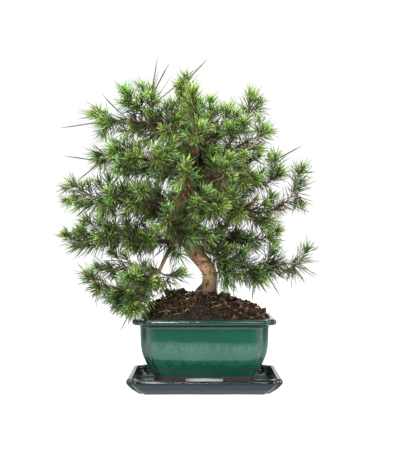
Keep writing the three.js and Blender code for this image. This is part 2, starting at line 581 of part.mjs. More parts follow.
// One leafy stem: a three-sided twig. Between each two rings of a whorl all six faces are drawn out
// into three-sided needles, and the twig ends in one more.
class Stem {
  constructor(points, leader, long, draw) {
    this.spine = new Spine(points);
    this.draw = draw;
    this.long = long;
    const length = this.spine.length - STEM.tuft;
    this.end = length;
    this.bare = Math.min(leader ? STEM.bare : STEM.forkBare, length * 0.35);
    this.bare = Math.max(this.bare, length - STEM.leafy);
    this.radius = (s) => THREE.MathUtils.lerp(STEM.root, STEM.tip, s / length);
    const count = Math.max(2, Math.round((length - this.bare) / STEM.spacing));
    const step = (length - STEM.whorl - this.bare) / (count - 0.5);
    const start = draw() * 2;
    this.stations = [{ s: 0, turn: start }];
    for (let i = 0; i < count; i += 1) {
      const s = this.bare + step * i;
      this.stations.push({ s, turn: start + i * STEM.twist, whorl: true });
      this.stations.push({ s: s + STEM.whorl, turn: start + i * STEM.twist });
    }
    this.stations.push({ s: length, turn: start + count * STEM.twist });
    take(this, this.spine, (s) => this.radius(s), 6, length);
  }

  grow() {
    const spots = [];
    const faces = [];
    const rings = this.stations.map(({ s, turn }) => this.spine.ring(s, this.radius(s), 3, turn));
    rings.forEach((ring) => ring.forEach((p) => spots.push(p)));
    faces.push([0, 2, 1]);
    for (let i = 0; i + 1 < rings.length; i += 1) {
      const { s, whorl } = this.stations[i];
      for (let j = 0; j < 3; j += 1) {
        const a = i * 3 + j;
        const b = i * 3 + (j + 1) % 3;
        const pair = [[a, b, b + 3, 1], [a, b + 3, a + 3, -1]];
        pair.forEach(([p, q, r, hand]) => {
          const apex = whorl ? this.needle(spots[p], spots[q], spots[r], s, hand) : null;
          if (apex) {
            spots.push(apex);
            const n = spots.length - 1;
            faces.push([p, q, n], [q, r, n], [r, p, n]);
          } else {
            faces.push([p, q, r]);
          }
        });
      }
    }
    const last = (rings.length - 1) * 3;
    const tip = this.spine.at(this.end);
    const apex = tip.p.clone().addScaledVector(tip.way, STEM.tuft * 0.8);
    spots.push(apex);
    const n = spots.length - 1;
    faces.push([last, last + 1, n], [last + 1, last + 2, n], [last + 2, last, n]);
    const flat = [];
    spots.forEach((p) => flat.push(p.x, p.y, p.z));
    return solid(indexed(flat, faces.flat()));
  }

  // The tip of a needle that grows from the face a, b, c, or null where there is no room for one
  needle(a, b, c, s, hand) {
    const foot = a.clone().add(b).add(c).divideScalar(3);
    const out = b.clone().sub(a).cross(c.clone().sub(a)).normalize();
    const { way } = this.spine.at(s);
    const across = way.clone().cross(out).normalize();
    const share = (s - this.bare) / Math.max(1, this.end - this.bare);
    const [low, middle, high] = NEEDLE.length;
    let length = share < 0.5
      ? THREE.MathUtils.lerp(low, middle, share * 2)
      : THREE.MathUtils.lerp(middle, high, share * 2 - 1);
    if (this.long && this.draw() < NEEDLE.longShare) {
      length = this.long;
    }
    length *= 0.85 + 0.3 * this.draw();
    for (let k = 0; k < NEEDLE.tries.length; k += 1) {
      const sway = NEEDLE.sway * k * (this.draw() - 0.5);
      const lean = THREE.MathUtils.lerp(...NEEDLE.lean, share) + hand * NEEDLE.pairLean + sway;
      const spread = hand * (NEEDLE.pairSpread + 0.3 * this.draw());
      const goes = way.clone().multiplyScalar(Math.cos(lean))
        .addScaledVector(out, Math.sin(lean) * Math.cos(spread))
        .addScaledVector(across, -Math.sin(lean) * Math.sin(spread));
      const apex = foot.clone().addScaledVector(goes.normalize(), length * NEEDLE.tries[k]);
      const from = foot.clone().lerp(apex, 0.06);
      if (clear(this, from, apex, NEEDLE.foot, NEEDLE.point, NEEDLE.room)) {
        taken.push({ owner: this, a: from, b: apex, ra: NEEDLE.foot, rb: NEEDLE.point });
        return apex;
      }
    }
    return null;
  }
}

const bareWood = model.getObjectByName('trunk_and_branches');
const feeler = new THREE.Raycaster();

// How far the bark stands out from a branch's middle, at its highest spot under a stem's foot
function barkHeight(here, away, reach) {
  const across = here.way.clone().cross(away);
  let height = 0;
  for (let i = 0; i < 8; i += 1) {
    const angle = i * Math.PI / 4;
    const from = here.p.clone().addScaledVector(away, reach)
      .addScaledVector(here.way, STEM.root * Math.cos(angle))
      .addScaledVector(across, STEM.root * Math.sin(angle));
    feeler.set(from, away.clone().negate());
    const [hit] = feeler.intersectObject(bareWood);
    height = Math.max(height, hit ? reach - hit.distance : 0);
  }
  return height;
}

// Where a leader starts: just off the bark on the side it grows to, or just past the branch's end
function socket(on, at, towards) {
  const { spine, radius } = spines[on];
  const distance = spine.length * at;
  const here = spine.at(distance);
  let way = here.way;
  let lift = 0;
  if (at < 1) {
    way = towards.clone().sub(here.p);
    way.sub(here.way.clone().multiplyScalar(way.dot(here.way))).normalize();
    lift = barkHeight(here, way, 2 * radius(distance));
  }
  const start = here.p.clone().addScaledVector(way, lift + STEM.off);
  return [start, start.clone().addScaledVector(way, STEM.straight)];
}

const counts = {};
const grown = SPRAYS.map((row, index) => {
  counts[row.on] = (counts[row.on] || 0) + 1;
  const name = `spray_${row.on}_${counts[row.on]}`;
  const draw = draws(100 + index);
  const goals = row.stems.map((stem) => stem.map(point));
  const leader = new Stem([...socket(row.on, row.at, goals[0][0]), ...goals[0]], true, row.long, draw);
  const forks = goals.slice(1).map((goal, i) => {
    const fork = leader.spine.at(leader.spine.length * (STEM.forkAt + 0.14 * i));
    return new Stem([fork.p, ...goal], false, 0, draw);
  });
  const stems = [leader, ...forks];
  return { name, stems, index };
});

grown.forEach(({ name, stems, index }) => {
  let body = null;
  stems.forEach((stem) => {
    const next = stem.grow();
    body = body ? body.add(next) : next;
  });
  keep(name, body, NEEDLE_GREENS[index % NEEDLE_GREENS.length], 0.7);
});

export default model;
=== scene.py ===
import math
import random

import bmesh
import bpy
import numpy as np
from mathutils import Euler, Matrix, Vector, kdtree, noise


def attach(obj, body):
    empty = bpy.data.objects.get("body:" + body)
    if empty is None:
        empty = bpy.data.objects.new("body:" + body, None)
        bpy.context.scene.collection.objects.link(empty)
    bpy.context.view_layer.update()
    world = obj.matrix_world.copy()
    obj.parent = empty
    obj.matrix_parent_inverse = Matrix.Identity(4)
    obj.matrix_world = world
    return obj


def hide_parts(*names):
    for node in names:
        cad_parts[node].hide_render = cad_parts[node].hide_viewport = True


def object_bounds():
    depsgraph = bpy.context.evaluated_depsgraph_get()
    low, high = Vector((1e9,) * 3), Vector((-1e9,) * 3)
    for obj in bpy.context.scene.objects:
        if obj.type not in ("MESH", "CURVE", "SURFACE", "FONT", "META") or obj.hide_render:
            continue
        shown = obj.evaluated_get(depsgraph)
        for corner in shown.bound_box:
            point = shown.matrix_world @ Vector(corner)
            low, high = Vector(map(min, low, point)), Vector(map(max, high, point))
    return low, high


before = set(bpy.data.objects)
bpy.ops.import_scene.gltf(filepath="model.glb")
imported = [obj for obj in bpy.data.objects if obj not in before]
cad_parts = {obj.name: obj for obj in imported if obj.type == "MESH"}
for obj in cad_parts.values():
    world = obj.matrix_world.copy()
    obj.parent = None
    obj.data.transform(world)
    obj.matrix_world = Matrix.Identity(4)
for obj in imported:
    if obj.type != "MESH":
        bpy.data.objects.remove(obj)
cad_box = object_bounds()
MM = 0.001


# Drip tray. A shallow clay saucer with stepped corners, pressed in a mould and dipped in a dark
# blue-green glaze. The glaze runs thin and brown over the edges. The underside is wiped back to
# bare clay, and the front rim sags a little from the firing.

def smooth_line(points, step):
    """Evenly spaced points on one smooth curve through a few. A radius may follow x, y and z."""
    points = np.asarray(points, float)
    ends = np.vstack([2 * points[0] - points[1], points, 2 * points[-1] - points[-2]])
    fine = []
    for a, b, c, d in zip(ends, ends[1:], ends[2:], ends[3:]):
        before, here, after = [max(np.linalg.norm(q - p) ** 0.5, 1e-3) for p, q in ((a, b), (b, c), (c, d))]
        leaving = here * ((b - a) / before - (c - a) / (before + here)) + (c - b)
        arriving = here * ((d - c) / after - (d - b) / (here + after)) + (c - b)
        t = np.linspace(0, 1, 16, endpoint=False)[:, None]
        fine.append(b + leaving * t + (3 * (c - b) - 2 * leaving - arriving) * t ** 2
                    + (2 * (b - c) + leaving + arriving) * t ** 3)
    fine = np.vstack([*fine, points[-1:]])
    run = np.r_[0, np.cumsum(np.linalg.norm(np.diff(fine[:, :3], axis=0), axis=1))]
    at = np.linspace(0, run[-1], max(2, math.ceil(run[-1] / step)) + 1)
    return np.stack([np.interp(at, run, column) for column in fine.T], 1)


def add(name, primitive, **settings):
    """Adds a primitive with nothing else selected, and names it."""
    bpy.ops.object.select_all(action="DESELECT")
    getattr(bpy.ops.mesh, primitive)(**settings)
    made = bpy.context.object
    made.name = made.data.name = name
    return made


def pick(ob, kind, test):
    """In edit mode, selects just the vertices or faces whose middle passes the test."""
    bpy.ops.mesh.select_mode(type="VERT" if kind == "verts" else "FACE")
    bpy.ops.mesh.select_all(action="DESELECT")
    mesh = bmesh.from_edit_mesh(ob.data)
    for part in getattr(mesh, kind):
        middle = part.co if kind == "verts" else part.calc_center_median()
        part.select = test(middle)
    mesh.select_flush_mode()
    bmesh.update_edit_mesh(ob.data)


def mould_ware(name, half_x, half_y, notch, outer, inner, profile, step):
    """Raises a hollow ware from a plate with stepped corners: up its outside, over the rim, down inside."""
    line = smooth_line(profile, step) * MM
    inset, z = line[0]
    ware = add(name, "primitive_plane_add", size=2, location=(0, 0, z))
    bpy.ops.transform.resize(value=(half_x * MM - inset, half_y * MM - inset, 1))
    bpy.ops.object.transform_apply(location=True, rotation=True, scale=True)
    bpy.ops.object.mode_set(mode="EDIT")
    # step the four corners, then round the three corners of each step
    shrink = Vector(((half_x * MM - inset) / (half_x * MM), (half_y * MM - inset) / (half_y * MM)))
    bpy.ops.mesh.select_all(action="SELECT")
    bpy.ops.mesh.bevel(offset=notch * MM * sum(shrink) / 2, segments=2, profile=0, affect="VERTICES")
    edge_x, edge_y = half_x * MM - inset - 1e-5, half_y * MM - inset - 1e-5
    for radius, is_outer in ((outer, True), (inner, False)):
        pick(ware, "verts", lambda p: (abs(p.x) > edge_x or abs(p.y) > edge_y) == is_outer)
        bpy.ops.mesh.bevel(offset=radius * MM * sum(shrink) / 2, segments=5, profile=0.5, affect="VERTICES")
    bpy.ops.mesh.select_mode(type="FACE")
    bpy.ops.mesh.select_all(action="SELECT")
    for (near, low), (far, high) in zip(line, line[1:]):
        bpy.ops.mesh.extrude_region_move(TRANSFORM_OT_translate={"value": (0, 0, high - low)})
        wider = [(half * MM - far) / (half * MM - near) for half in (half_x, half_y)]
        bpy.ops.transform.resize(value=(*wider, 1), center_override=(0, 0, high))
    bpy.ops.mesh.select_all(action="SELECT")
    bpy.ops.mesh.normals_make_consistent(inside=False)
    # cross cuts, so that long sides can bend
    for axis, half in ((0, half_x), (1, half_y)):
        across = Vector((1, 0, 0)) if axis == 0 else Vector((0, 1, 0))
        for share in np.linspace(-0.8, 0.8, 9):
            bpy.ops.mesh.select_all(action="SELECT")
            bpy.ops.mesh.bisect(plane_co=across * half * share * MM, plane_no=across)
    bpy.ops.object.mode_set(mode="OBJECT")
    return ware


def read(ob, kind, field):
    """The places or normals of a mesh, one row each."""
    parts = getattr(ob.data, kind)
    rows = np.empty(3 * len(parts), np.float32)
    parts.foreach_get(field, rows)
    return rows.reshape(-1, 3).astype(float)


def hand_made(ob, size, amount):
    """Moves the surface in and out a little, as no moulded clay dries true."""
    places = read(ob, "vertices", "co")
    waves = np.array([noise.noise(Vector(p) / (size * MM)) for p in places])[:, None]
    normals = read(ob, "vertices", "normal")
    ob.data.vertices.foreach_set("co", (places + normals * waves * amount * MM).ravel())


def soften(ob, degrees=40):
    bpy.ops.object.select_all(action="DESELECT")
    ob.select_set(True)
    bpy.context.view_layer.objects.active = ob
    bpy.ops.object.shade_smooth_by_angle(angle=math.radians(degrees))


def mark_edges(ob, reach, gain):
    """Stores how far each vertex stands out from its surroundings: 1 on outer edges, 0 in hollows."""
    mesh = bmesh.new()
    mesh.from_mesh(ob.data)
    mesh.normal_update()
    places = np.array([v.co for v in mesh.verts])
    normals = np.array([v.normal for v in mesh.verts])
    pairs = np.array([(e.verts[0].index, e.verts[1].index) for e in mesh.edges])
    mesh.free()
    bend = np.zeros(len(places))
    weight = np.full(len(places), 1e-9)
    for a, b in (pairs.T, pairs.T[::-1]):
        gap = places[b] - places[a]
        length = np.linalg.norm(gap, axis=1)
        np.add.at(bend, a, -(gap * normals[a]).sum(1) / np.maximum(length, 1e-6))
        np.add.at(weight, a, 1)
    value = bend / weight
    for _ in range(reach):
        spread, count = value.copy(), np.ones(len(value))
        for a, b in (pairs.T, pairs.T[::-1]):
            np.add.at(spread, a, value[b])
            np.add.at(count, a, 1)
        value = spread / count
    store = ob.data.attributes.new("edge", "FLOAT", "POINT")
    store.data.foreach_set("value", (0.5 + gain * value).clip(0, 1).astype(np.float32))


def tone(red, green, blue):
    """A colour as it looks on a screen, from 0 to 255, in the shader's own scale."""
    shares = [channel / 255 for channel in (red, green, blue)]
    return (*[s / 12.92 if s < 0.04045 else ((s + 0.055) / 1.055) ** 2.4 for s in shares], 1)


class Wire:
    """A shader node's output. Sums on wires add the Math nodes that they need."""

    def __init__(self, finish, socket):
        self.finish = finish
        self.socket = socket

    def math(self, operation, first, second):
        return self.finish.node("ShaderNodeMath", {"operation": operation}, {0: first, 1: second})

    def __add__(self, other):
        return self.math("ADD", self, other)

    def __sub__(self, other):
        return self.math("SUBTRACT", self, other)

    def __rsub__(self, other):
        return self.math("SUBTRACT", other, self)

    def __mul__(self, other):
        return self.math("MULTIPLY", self, other)

    __radd__ = __add__
    __rmul__ = __mul__


class Finish:
    """A material on its way: a principled shader and the nodes that feed it."""

    def __init__(self, name, **sockets):
        self.material = bpy.data.materials.new(name)
        self.material.use_nodes = True
        self.tree = self.material.node_tree
        self.shader = next(n for n in self.tree.nodes if n.type == "BSDF_PRINCIPLED")
        self.place = self.node("ShaderNodeTexCoord", out="Object")
        self.feed(self.shader, sockets)

    def feed(self, node, values):
        for name, value in values.items():
            if isinstance(value, Wire):
                self.tree.links.new(value.socket, node.inputs[name])
            else:
                node.inputs[name].default_value = value

    def node(self, kind, settings=(), values=(), out=0):
        made = self.tree.nodes.new(kind)
        for name, value in dict(settings).items():
            if name == "stops":
                ramp = made.color_ramp.elements
                while len(ramp) < len(value):
                    ramp.new(1)
                for stop, (position, colour) in zip(ramp, value):
                    stop.position = position
                    stop.color = colour
            else:
                setattr(made, name, value)
        self.feed(made, dict(values))
        return Wire(self, made.outputs[out])

    def noise(self, scale, detail=4, stretch=(1, 1, 1), rough=0.55, warp=0):
        at = self.node("ShaderNodeMapping", values={"Vector": self.place, "Scale": stretch})
        return self.node("ShaderNodeTexNoise", values={
            "Vector": at, "Scale": scale, "Detail": detail, "Roughness": rough, "Distortion": warp})

    def part(self, axis):
        return self.node("ShaderNodeSeparateXYZ", values={"Vector": self.place}, out=axis)

    def step(self, value, low, high, start=0, end=1):
        return self.node("ShaderNodeMapRange", {"interpolation_type": "SMOOTHSTEP"}, {
            "Value": value, "From Min": low, "From Max": high, "To Min": start, "To Max": end})

    def mix(self, share, first, second):
        return self.node("ShaderNodeMix", {"data_type": "RGBA"}, {0: share, 6: first, 7: second}, out=2)

    def stored(self, name, out="Fac"):
        return self.node("ShaderNodeAttribute", {"attribute_name": name}, out=out)

    def vary(self, colour, value):
        """The colour, darker and paler in turn by a value round 1."""
        return self.node("ShaderNodeHueSaturation", {}, {"Color": colour, "Value": value})

    def relief(self, height, depth, strength=1):
        values = {"Height": height, "Distance": depth * MM, "Strength": strength}
        return self.node("ShaderNodeBump", values=values)

    def shine(self, **sockets):
        self.feed(self.shader, {name.replace("_", " "): value for name, value in sockets.items()})

    def dress(self, ob):
        ob.data.materials.clear()
        ob.data.materials.append(self.material)


def shaded(colour, share):
    """The same colour with a share of its light."""
    return (*[share * channel for channel in colour[:3]], 1)


# The sizes that follow are in millimetres: the top of the bare clay, the paler band round the belly,
# partly milky glaze and partly a painted reflection of the table (from, to, and how softly it ends),
# the bottom of the lip, where the painted dark reflection on the rim starts, how far out the painted
# pale reflection down the notched corners starts, and half the length and depth of the painted
# near-white reflection in the dish.
def glaze(name, deep, light, thin, clay, rim_reflection_colour, clay_top, band, lip, specks, shine, corner=None, under_pot_reflection=None):
    """Glaze that breaks thin over edges, with a paler band round the belly, partly milky glaze and partly
    painted reflection, and bare clay below.
    """
    ware = Finish(name)
    height = ware.part("Z")
    mottle = ware.noise(70, 6, rough=0.62)
    cloud = ware.noise(18, 3)
    low, high, soft = band
    drip = ware.noise(220, 4, (1, 1, 0.35), 0.65)
    ragged = height + (mottle - 0.5) * 0.022 + (cloud - 0.5) * 0.014 + (drip - 0.5) * 0.03
    # the paler band round the belly is partly milky glaze and partly a painted reflection of the table
    milky_band_and_reflection = ware.step(ragged, (low - soft) * MM, (low + soft) * MM) \
        * ware.step(ragged, (high - soft) * MM, (high + soft) * MM, 1, 0)
    milky_band_and_reflection = milky_band_and_reflection * ware.step(mottle, 0.25, 0.6, 0.55, 1)
    colour = ware.mix(milky_band_and_reflection, deep, light)
    colour = ware.mix(ware.step(cloud, 0.3, 0.75, 0, 0.35), colour, shaded(deep, 0.55))
    # iron specks
    colour = ware.mix(ware.step(ware.noise(900, 2), 0.66, 0.74, 0, specks), colour, tone(24, 26, 20))
    # it runs thin over edges, and hollows and creases are painted darker: partly glaze gathered there,
    # partly painted shade
    edge = ware.stored("edge")
    worn = ware.step(edge + (mottle - 0.5) * 0.3, 0.64, 0.95)
    colour = ware.mix(worn * 0.4, colour, thin)
    colour = ware.mix(ware.step(edge, 0.44, 0.2, 0, 0.85), colour, shaded(deep, 0.35))
    # the rim is painted darker: a painted reflection of the dim room in its glaze
    painted_rim_reflection = ware.step(height + (mottle - 0.5) * 0.005, (lip - 1) * MM, lip * MM, 0, 0.75)
    colour = ware.mix(painted_rim_reflection, colour, rim_reflection_colour)
    across, along = ware.part("X"), ware.part("Y")
    across, along = across * across, along * along
    painted_white_under_pot = 0
    if corner:
        # a pale reflection is painted down the notched corners, in the colour of thin glaze
        corner_reflection = ware.step(across, ((corner[0] - 4) * MM) ** 2, (corner[0] * MM) ** 2) \
            * ware.step(along, ((corner[1] - 4) * MM) ** 2, (corner[1] * MM) ** 2) \
            * ware.step(height, (lip - 1) * MM, (lip - 4) * MM)
        colour = ware.mix(corner_reflection * ware.step(mottle, 0.3, 0.6, 0.1, 0.5), colour, thin)
    if under_pot_reflection:
        # and lies thick in the dish, which is painted pale and mottled, partly pooled glaze and partly
        # painted reflection; under what stands in it, it is painted near-white, a painted reflection of the
        # bright room seen through the arches
        def middle(half_x, half_y, fade_x, fade_y):
            return ware.step(across, (half_x * MM) ** 2, ((half_x - fade_x) * MM) ** 2) \
                * ware.step(along, (half_y * MM) ** 2, ((half_y - fade_y) * MM) ** 2)

        under, dish = middle(*under_pot_reflection, 6, 4), middle(97, 72, 4, 4)
        inside = ware.step(height, 5 * MM, 5.6 * MM)
        painted_white_under_pot = under * inside
        pooled_glaze_and_reflection = dish * inside * ware.step(mottle, 0.4, 0.65, 0.2, 0.7)
        colour = ware.mix(pooled_glaze_and_reflection, colour, tone(136, 138, 122))
        colour = ware.mix(painted_white_under_pot, colour, tone(232, 234, 226))
    colour = ware.vary(colour, ware.step(ware.noise(420, 4, rough=0.7), 0.35, 0.65, 0.86, 1.16))
    bare = ware.step(height + (cloud - 0.5) * 0.0035, (clay_top + 0.35) * MM, (clay_top - 0.35) * MM)
    grain = ware.noise(1400, 3)
    clay_tint = ware.mix(ware.step(grain, 0.35, 0.7), clay, shaded(clay, 1.5))
    colour = ware.mix(bare, colour, clay_tint)
    ware.shine(
        Base_Color=colour,
        Roughness=bare * 0.85 + ware.step(mottle, 0.3, 0.8, 0.05, 0.12),
        Coat_Weight=(1 - bare) * 0.1 + painted_white_under_pot,
        Normal=ware.relief(cloud * 2 + mottle * 0.8 + drip * 0.3 + bare * grain * 0.6, 0.35, 0.6))
    ware.shader.inputs["Coat Roughness"].default_value = 0.04
    ware.shader.inputs["IOR"].default_value = 1.52
    ware.shader.inputs["Specular IOR Level"].default_value = shine
    return ware


TRAY = dict(half_x=111, half_y=86, notch=10, outer=5, inner=4)
# how far in from the widest outline, and how high: up the outside, over the rim and down inside
TRAY_SIDE = [
    [17, 0], [12.5, 3.2], [7.2, 7.4], [2.8, 12.2], [0.7, 15.2], [0, 16.8], [0.3, 18.6], [0.8, 20.2],
    [1.5, 21.5], [2.8, 22.4], [5.8, 22.2], [7.4, 20.5], [9.4, 13], [16, 8.6]]
# the rim sags in the middle of each long side, and the floor is dished
RIM_SAG, SAG_REACH, SAG_FROM, SAG_TO = 2.3, 56, 18, 21
DISH_DEPTH, DISH_REACH, DISH_BACK, DISH_EDGE = 2.6, 56, 5, 60
FLOOR_LOW, FLOOR_HIGH = 8.3, 8.9
tray = mould_ware("tray", profile=TRAY_SIDE, step=1.5, **TRAY)
for vertex in tray.data.vertices:
    x, y, z = vertex.co / MM
    if z > SAG_FROM:
        share = min(1, (z - SAG_FROM) / (SAG_TO - SAG_FROM))
        vertex.co.z -= RIM_SAG * MM * share * math.exp(-((x / SAG_REACH) ** 2))
    # so it mirrors the light that comes in through the pot's back arch
    if FLOOR_LOW < z < FLOOR_HIGH and abs(y) < DISH_EDGE:
        vertex.co.z -= DISH_DEPTH * MM * max(0, 1 - ((y + DISH_BACK) / DISH_REACH) ** 2)
hand_made(tray, 45, 0.35)
soften(tray)
mark_edges(tray, 2, 2.2)
glaze("tray glaze", deep=tone(14, 34, 42), light=tone(24, 46, 52), thin=tone(24, 34, 36),
      clay=tone(80, 46, 30), rim_reflection_colour=tone(8, 16, 18), clay_top=1.2, band=(7, 15, 4), lip=16.5,
      specks=0.4, shine=0.3, under_pot_reflection=(62, 48)).dress(tray)
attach(tray, "root")
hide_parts("drip_tray")


# Pot. A stepped-corner bonsai pot in stoneware, its outside and lip in clear green glaze with a
# paler band round the belly, partly milky glaze and partly a painted reflection of the table. The
# foot is left bare to stand in the kiln, hollow underneath, with an arched gap in each side. Two
# drain holes go through the floor.

POT = dict(half_x=103, half_y=78, notch=13, outer=5, inner=4)
POT_SIDE = [
    [30.4, 8.9], [29.9, 15], [29.8, 21.8], [28.9, 24], [24.2, 32], [18.6, 42.5], [14.2, 54], [12.4, 62],
    [11.5, 71], [11, 82], [10.7, 93], [9.9, 95.6], [7.4, 96.6], [2.2, 97.7], [0.4, 99.3], [0, 101.4],
    [0.5, 103.6], [1.9, 105], [4.2, 105.6], [12.4, 105.6], [14.6, 104.8], [15.6, 102.8], [17, 66],
    [22, 42], [27, 30], [35, 27.6]]
pot = mould_ware("pot_body", profile=POT_SIDE, step=1.5, **POT)
# the long walls curve back a little towards their ends
WALL_CURVE, WALL_END, WALL_LOW, WALL_HIGH, WALL_NEAR = 0.016, 78, 30, 95, 40
for vertex in pot.data.vertices:
    x, y, z = vertex.co / MM
    if abs(y) > WALL_NEAR and WALL_LOW < z < WALL_HIGH:
        vertex.co.y *= 1 - WALL_CURVE * min(1, abs(x) / WALL_END) ** 7
hand_made(pot, 60, 0.35)


def cut(ob, tool):
    """Takes a tool's shape out of a piece and throws the tool away."""
    change = ob.modifiers.new("cut", "BOOLEAN")
    change.operation = "DIFFERENCE"
    change.solver = "EXACT"
    change.object = tool
    bpy.ops.object.select_all(action="DESELECT")
    ob.select_set(True)
    bpy.context.view_layer.objects.active = ob
    bpy.ops.object.modifier_apply(modifier=change.name)
    bpy.data.objects.remove(tool)


def block(low, high, taper_x=0, taper_y=0, corner=0):
    """A block between two corners in millimetres. Its top is narrower by the tapers."""
    low, high = Vector(low) * MM, Vector(high) * MM
    tool = add("tool", "primitive_cube_add", size=1, location=(low + high) / 2)
    bpy.ops.transform.resize(value=high - low)
    bpy.ops.object.transform_apply(location=True, rotation=True, scale=True)
    bpy.ops.object.mode_set(mode="EDIT")
    if taper_x or taper_y:
        size = high - low
        pick(tool, "faces", lambda p: p.z > high.z - 1e-6)
        bpy.ops.transform.resize(value=(1 - 2 * taper_x * MM / size.x, 1 - 2 * taper_y * MM / size.y, 1))
    if corner:
        mesh = bmesh.from_edit_mesh(tool.data)
        bpy.ops.mesh.select_all(action="DESELECT")
        bpy.ops.mesh.select_mode(type="EDGE")
        for edge in mesh.edges:
            edge.select = abs(edge.verts[0].co.z - edge.verts[1].co.z) > 1e-6
        bmesh.update_edit_mesh(tool.data)
        bpy.ops.mesh.bevel(offset=corner * MM, segments=4, affect="EDGES")
    bpy.ops.object.mode_set(mode="OBJECT")
    return tool


# under the floor: half the length and depth of the hollow, half the width of the front and side
# gaps, and how high each goes
BELOW = 5
HOLLOW_X, HOLLOW_Y, HOLLOW_TOP = 63, 38, 20.6
FRONT_GAP, FRONT_TOP, SIDE_GAP, SIDE_TOP, GAP_TAPER = 30.6, 20.3, 17.6, 18.9, 3.6
HOLE_RADIUS, HOLE_X, FLOOR_MIDDLE = 7, 36, 24
cut(pot, block((-HOLLOW_X, -HOLLOW_Y, BELOW), (HOLLOW_X, HOLLOW_Y, HOLLOW_TOP), corner=12))
cut(pot, block((-FRONT_GAP, -90, BELOW), (FRONT_GAP, 90, FRONT_TOP), taper_x=GAP_TAPER))
cut(pot, block((-100, -SIDE_GAP, BELOW), (100, SIDE_GAP, SIDE_TOP), taper_y=GAP_TAPER))
for side in (-1, 1):
    drill = add("tool", "primitive_cylinder_add", vertices=40, radius=HOLE_RADIUS * MM, depth=30 * MM,
                location=(side * HOLE_X * MM, 0, FLOOR_MIDDLE * MM))
    cut(pot, drill)
soften(pot)
mark_edges(pot, 2, 2.2)
glaze("pot glaze", deep=tone(18, 68, 55), light=tone(34, 86, 68), thin=tone(54, 76, 66),
      clay=tone(38, 16, 8), rim_reflection_colour=tone(18, 38, 34), clay_top=21.7, band=(41, 67, 3), lip=95,
      specks=0.5, shine=0.5, corner=(75, 50)).dress(pot)
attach(pot, "root")
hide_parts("pot")


# Drain meshes. Two squares cut from a sheet of black moulded plastic mesh, laid over the drain
# holes before the soil goes in. They keep their CAD shape.

mesh_plastic = Finish("black mesh plastic", Roughness=0.5)
scuff = mesh_plastic.noise(900, 3)
mesh_plastic.shine(
    Base_Color=mesh_plastic.mix(mesh_plastic.step(scuff, 0.4, 0.7), tone(22, 23, 24), tone(48, 48, 46)),
    Roughness=mesh_plastic.step(scuff, 0.3, 0.8, 0.4, 0.65),
    Normal=mesh_plastic.relief(scuff, 0.05))
for side in ("left", "right"):
    mesh_plastic.dress(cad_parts[f"drain_mesh_{side}"])


# Soil. Dark bark compost is pressed into the pot round the roots and mounded up to the trunk, and
# spills a little over the inner edge of the lip. Bark chips, crumbs and root fibres lie loose on
# it, with moss at its left end.

def frames(line):
    """The direction at each point of a line, and two vectors across it that turn as little as they can."""
    way = np.gradient(line, axis=0)
    way /= np.linalg.norm(way, axis=1)[:, None]
    side = np.cross(way[0], (0, 0, 1) if abs(way[0][2]) < 0.9 else (1, 0, 0))
    sides = []
    for here in way:
        side = side - here * (side @ here)
        side = side / np.linalg.norm(side)
        sides.append(side)
    sides = np.array(sides)
    return way, sides, np.cross(way, sides)


def tube(line, radius, around):
    """A closed round tube along a line, pointed at both ends."""
    way, side, third = frames(line)
    angle = np.linspace(0, 2 * math.pi, around, endpoint=False)
    out = side[:, None] * np.cos(angle)[None, :, None] + third[:, None] * np.sin(angle)[None, :, None]
    rings = line[:, None] + out * np.reshape(radius, (-1, 1, 1))
    ends = np.array([line[0] - way[0] * radius[0] * 0.5, line[-1] + way[-1] * radius[-1] * 0.9])
    count = len(line)
    first, last = count * around, count * around + 1
    faces = []
    for j in range(around):
        k = (j + 1) % around
        faces.append((first, k, j))
        faces.append((last, (count - 1) * around + j, (count - 1) * around + k))
        faces.extend((i * around + j, i * around + k, (i + 1) * around + k, (i + 1) * around + j)
                     for i in range(count - 1))
    return np.vstack([rings.reshape(-1, 3), ends]), faces


def gather(name, parts):
    """One object from many parts: places in millimetres, faces and, where they have one, a colour."""
    places, faces, tints, start = [], [], [], 0
    for spots, sheets, *tint in parts:
        places.append(spots)
        faces.extend(tuple(corner + start for corner in sheet) for sheet in sheets)
        tints.extend(np.tile((*colour, 1), (len(spots), 1)) for colour in tint)
        start += len(spots)
    mesh = bpy.data.meshes.new(name)
    mesh.from_pydata((np.vstack(places) * MM).tolist(), [], faces)
    if tints:
        store = mesh.color_attributes.new("tint", "FLOAT_COLOR", "POINT")
        store.data.foreach_set("color", np.vstack(tints).astype(np.float32).ravel())
    made = bpy.data.objects.new(name, mesh)
    bpy.context.scene.collection.objects.link(made)
    return made


# half the length and depth of the soil, the middle of its length, and the top of the pot's lip
SOIL_X, SOIL_Y, SOIL_MIDDLE, LIP_TOP, UNDERSIDE = 95, 70, 2, 105.7, 97


def soil_height(x, y):
    """Top of the mound, in millimetres."""
    away = ((x + 5) / 104) ** 2 + (y / 76) ** 2
    return 102.4 + 34.6 * np.maximum(0, 1 - away ** 1.3)


def ground(x, y):
    """Top of the soil with its lumps, which thins out to nothing on the lip."""
    edge = (np.abs((x - SOIL_MIDDLE) / SOIL_X) ** 5 + np.abs(y / SOIL_Y) ** 5) ** 0.2
    inward = np.clip((1 - edge) / 0.1, 0, 1)
    lumps = [4.6 * noise.fractal((a / 13, b / 13, 0), 1, 2, 3)
             + 3.6 * noise.fractal((a / 4.2, b / 4.2, 7), 1, 2, 2) for a, b in zip(x.ravel(), y.ravel())]
    high = np.maximum(soil_height(x, y), LIP_TOP + 0.9) + np.reshape(lumps, x.shape)
    # a hollow right of the trunk
    high = high - 2.6 * np.exp(-((x - 46) / 22) ** 2)
    return LIP_TOP + (np.maximum(high, LIP_TOP + 0.5) - LIP_TOP) * inward ** 0.6


